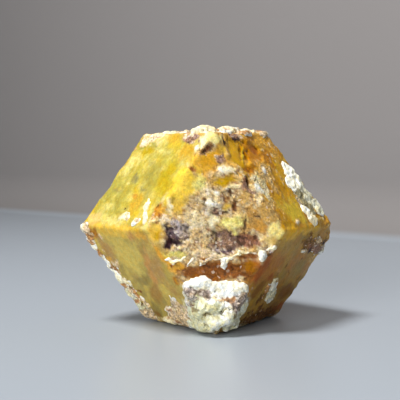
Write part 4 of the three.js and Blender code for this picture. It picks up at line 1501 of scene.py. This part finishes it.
def mineral_material(name, seed):
    """A mineral surface that takes its tint, polish, speckle and hollows from its piece."""
    material, graph, shader, place = surface_graph(name)
    tint = kept(graph, "tint", "Color")
    speckle = kept(graph, "speckle")
    clouds = graph.noise(place, 1.3, detail=7.0, roughness=0.7, seed=seed)
    hue = graph.noise(place, 0.9, detail=4.0, roughness=0.6, seed=seed + 2)
    bent = place + (graph.noise_vector(place, 0.5, seed=seed) - 0.5) * 0.3
    grit = graph.cells(bent, 0.42, "Color", seed=seed).dot((1.0, 0.0, 0.0))
    flecks = graph.cells(bent, 0.26, "Color", seed=seed + 5).dot((0.0, 1.0, 0.0))
    shade = 1.0 + (clouds.span(0.3, 0.72) - 0.55) * (speckle * 0.4 + 0.22)
    shade = shade * (1.0 + (grit - 0.5) * speckle * 0.9)
    shade = shade * (1.0 + (flecks - 0.5) * (speckle * 0.9 + 0.12))
    # Painted shade: darker where a point lies in a hollow. This is partly the dirt that sits there
    # and partly the shade that falls there.
    shade = shade * kept(graph, "hollow").span(0.52, 0.95, 1.0, 0.45)
    wash = graph.mixed(hue.span(0.35, 0.65), WARM_WASH, COOL_WASH)
    colour = graph.mixed(1.0, tint.scaled(shade), wash, "MULTIPLY")
    colour = gritty(graph, colour, flecks, speckle, DARK_GRIT)
    colour = gritty(graph, colour, grit, speckle, PALE_GRIT)
    graph.feed(shader.inputs["Base Color"], colour)
    graph.feed(shader.inputs["Roughness"], kept(graph, "polish") + (clouds - 0.5) * 0.12)
    bump = graph.noise(place, 0.3, detail=4.0, roughness=0.65, seed=7.0)
    height = bump * (speckle + 0.1) + grit * speckle * 0.5
    bump_inputs = {"Strength": 0.5, "Distance": 0.15 * MM, "Height": height}
    graph.feed(shader.inputs["Normal"], graph.node("ShaderNodeBump", bump_inputs))
    return material, shader


def garnet_material():
    """Cloudy garnet: glossy, with a little light spreading under its surface."""
    material, shader = mineral_material("garnet", 1.0)
    shader.inputs["IOR"].default_value = 1.74
    shader.inputs["Specular IOR Level"].default_value = 0.05
    shader.inputs["Subsurface Weight"].default_value = 0.2
    shader.inputs["Subsurface Radius"].default_value = (1.0, 0.6, 0.15)
    shader.inputs["Subsurface Scale"].default_value = 0.8 * MM
    return material


def crust_material():
    """The dull white and brown matrix that grew on the garnet."""
    material, shader = mineral_material("crust", 11.0)
    shader.inputs["IOR"].default_value = 1.5
    shader.inputs["Specular IOR Level"].default_value = 0.1
    return material


# ---- Stage -----------------------------------------------------------------------------------

DAYLIGHT = (1.0, 0.99, 0.97)
SKY = (0.90, 0.94, 1.0, 1.0)
FLOOR_TINT = (157, 165, 174)
WALL_TINT = (134, 130, 129)
WALL_TINT_HEIGHT = 2.6  # mm above the floor, where the wall has its own tint in full


def make_stage():
    """A pale floor that ends in a short sweep up to a grey wall, askew behind the crystal."""
    half_width = 3.0  # m, as all sizes here
    floor_start = -1.2
    sweep_start = 0.139
    sweep_radius = 0.020
    wall_top = 1.6
    askew = math.radians(-51.2)
    steps = 16
    profile = [(floor_start, 0.0)]
    for index in range(steps + 1):
        angle = math.radians(90 * index / steps)
        along = sweep_start + sweep_radius * math.sin(angle)
        profile.append((along, sweep_radius * (1 - math.cos(angle))))
    profile.append((sweep_start + sweep_radius, wall_top))
    points = [(side * half_width, along, up) for along, up in profile for side in (-1, 1)]
    quads = [(2 * i, 2 * i + 1, 2 * i + 3, 2 * i + 2) for i in range(len(profile) - 1)]
    mesh = bpy.data.meshes.new("studio_sweep")
    mesh.from_pydata(points, [], quads)
    mesh.transform(Matrix.Rotation(askew, 4, "Z"))
    mesh.materials.append(sweep_material())
    mesh.shade_smooth()
    sweep = bpy.data.objects.new("studio_sweep", mesh)
    bpy.context.collection.objects.link(sweep)


def sweep_material():
    """Pale paper on the floor, turning to grey just above it."""
    material, graph, shader, place = surface_graph("studio_paper")
    up_the_wall = place.dot((0.0, 0.0, 1.0)).span(0.0, WALL_TINT_HEIGHT)
    floor = (*linear(FLOOR_TINT), 1.0)
    wall = (*linear(WALL_TINT), 1.0)
    graph.feed(shader.inputs["Base Color"], graph.mixed(up_the_wall, floor, wall))
    shader.inputs["Roughness"].default_value = 0.35
    return material


def soft_light(name, place, size, power):
    """A round lamp that looks at the crystal's centre, with its place and size in metres."""
    light = bpy.data.lights.new(name, "AREA")
    light.shape = "DISK"
    light.size = size
    light.energy = power
    light.color = DAYLIGHT
    lamp = bpy.data.objects.new(name, light)
    bpy.context.collection.objects.link(lamp)
    lamp.location = place
    aim = Vector((0, 0, CENTRE_HEIGHT * MM)) - lamp.location
    lamp.rotation_euler = aim.to_track_quat("-Z", "Y").to_euler()


def make_lights():
    """A window above and to the left, a larger weaker lamp in front, and a faint cool sky."""
    soft_light("window", (-0.15, -0.09, 0.45), size=0.16, power=2.9)
    soft_light("fill", (-0.32, -0.61, 0.19), size=0.40, power=3.8)
    world = bpy.data.worlds.new("room")
    bpy.context.scene.world = world
    world.use_nodes = True
    background = world.node_tree.nodes["Background"]
    background.inputs["Color"].default_value = SKY
    background.inputs["Strength"].default_value = 0.15


def make_camera():
    """A long lens about four crystal widths away, a little above the crystal's middle."""
    eye = Vector((-9.5, -182.1, 14.8 + CENTRE_HEIGHT)) * MM
    aim = Vector((-2.0, 0.0, 22.4)) * MM
    tilt = math.radians(0.83)
    data = bpy.data.cameras.new("camera")
    data.lens = 88.6
    data.sensor_width = 36.0
    data.clip_start = 0.01
    camera = bpy.data.objects.new("camera", data)
    bpy.context.collection.objects.link(camera)
    look = (aim - eye).to_track_quat("-Z", "Y")
    roll = Matrix.Rotation(tilt, 4, (aim - eye).normalized())
    camera.matrix_world = Matrix.Translation(eye) @ roll @ look.to_matrix().to_4x4()
    bpy.context.scene.camera = camera


# ---- Everything together ---------------------------------------------------------------------

make_camera()
make_lights()
make_stage()


def hand_over(piece):
    """Makes a piece part of the object, in place of the CAD crystal."""
    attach(piece, "root")
    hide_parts("garnet_crystal")


garnet_finish = garnet_material()
crust_finish = crust_material()
body = make_crystal(garnet_finish)
hand_over(body)
hand_over(make_grains("garnet_grains", body, garnet_finish, density=6.0, size=0.13))
for crust_name, (crust_habit, crust_lumps) in CRUSTS.items():
    crust = make_crust(crust_name, crust_habit, by_face(crust_lumps), crust_finish)
    hand_over(crust)
    if crust_habit is not SEAM:
        grains_name = crust_name + "_grains"
        crust_grains = make_grains(grains_name, crust, crust_finish, density=1.5, size=0.11)
        hand_over(crust_grains)

bpy.context.scene.view_settings.view_transform = "Standard"
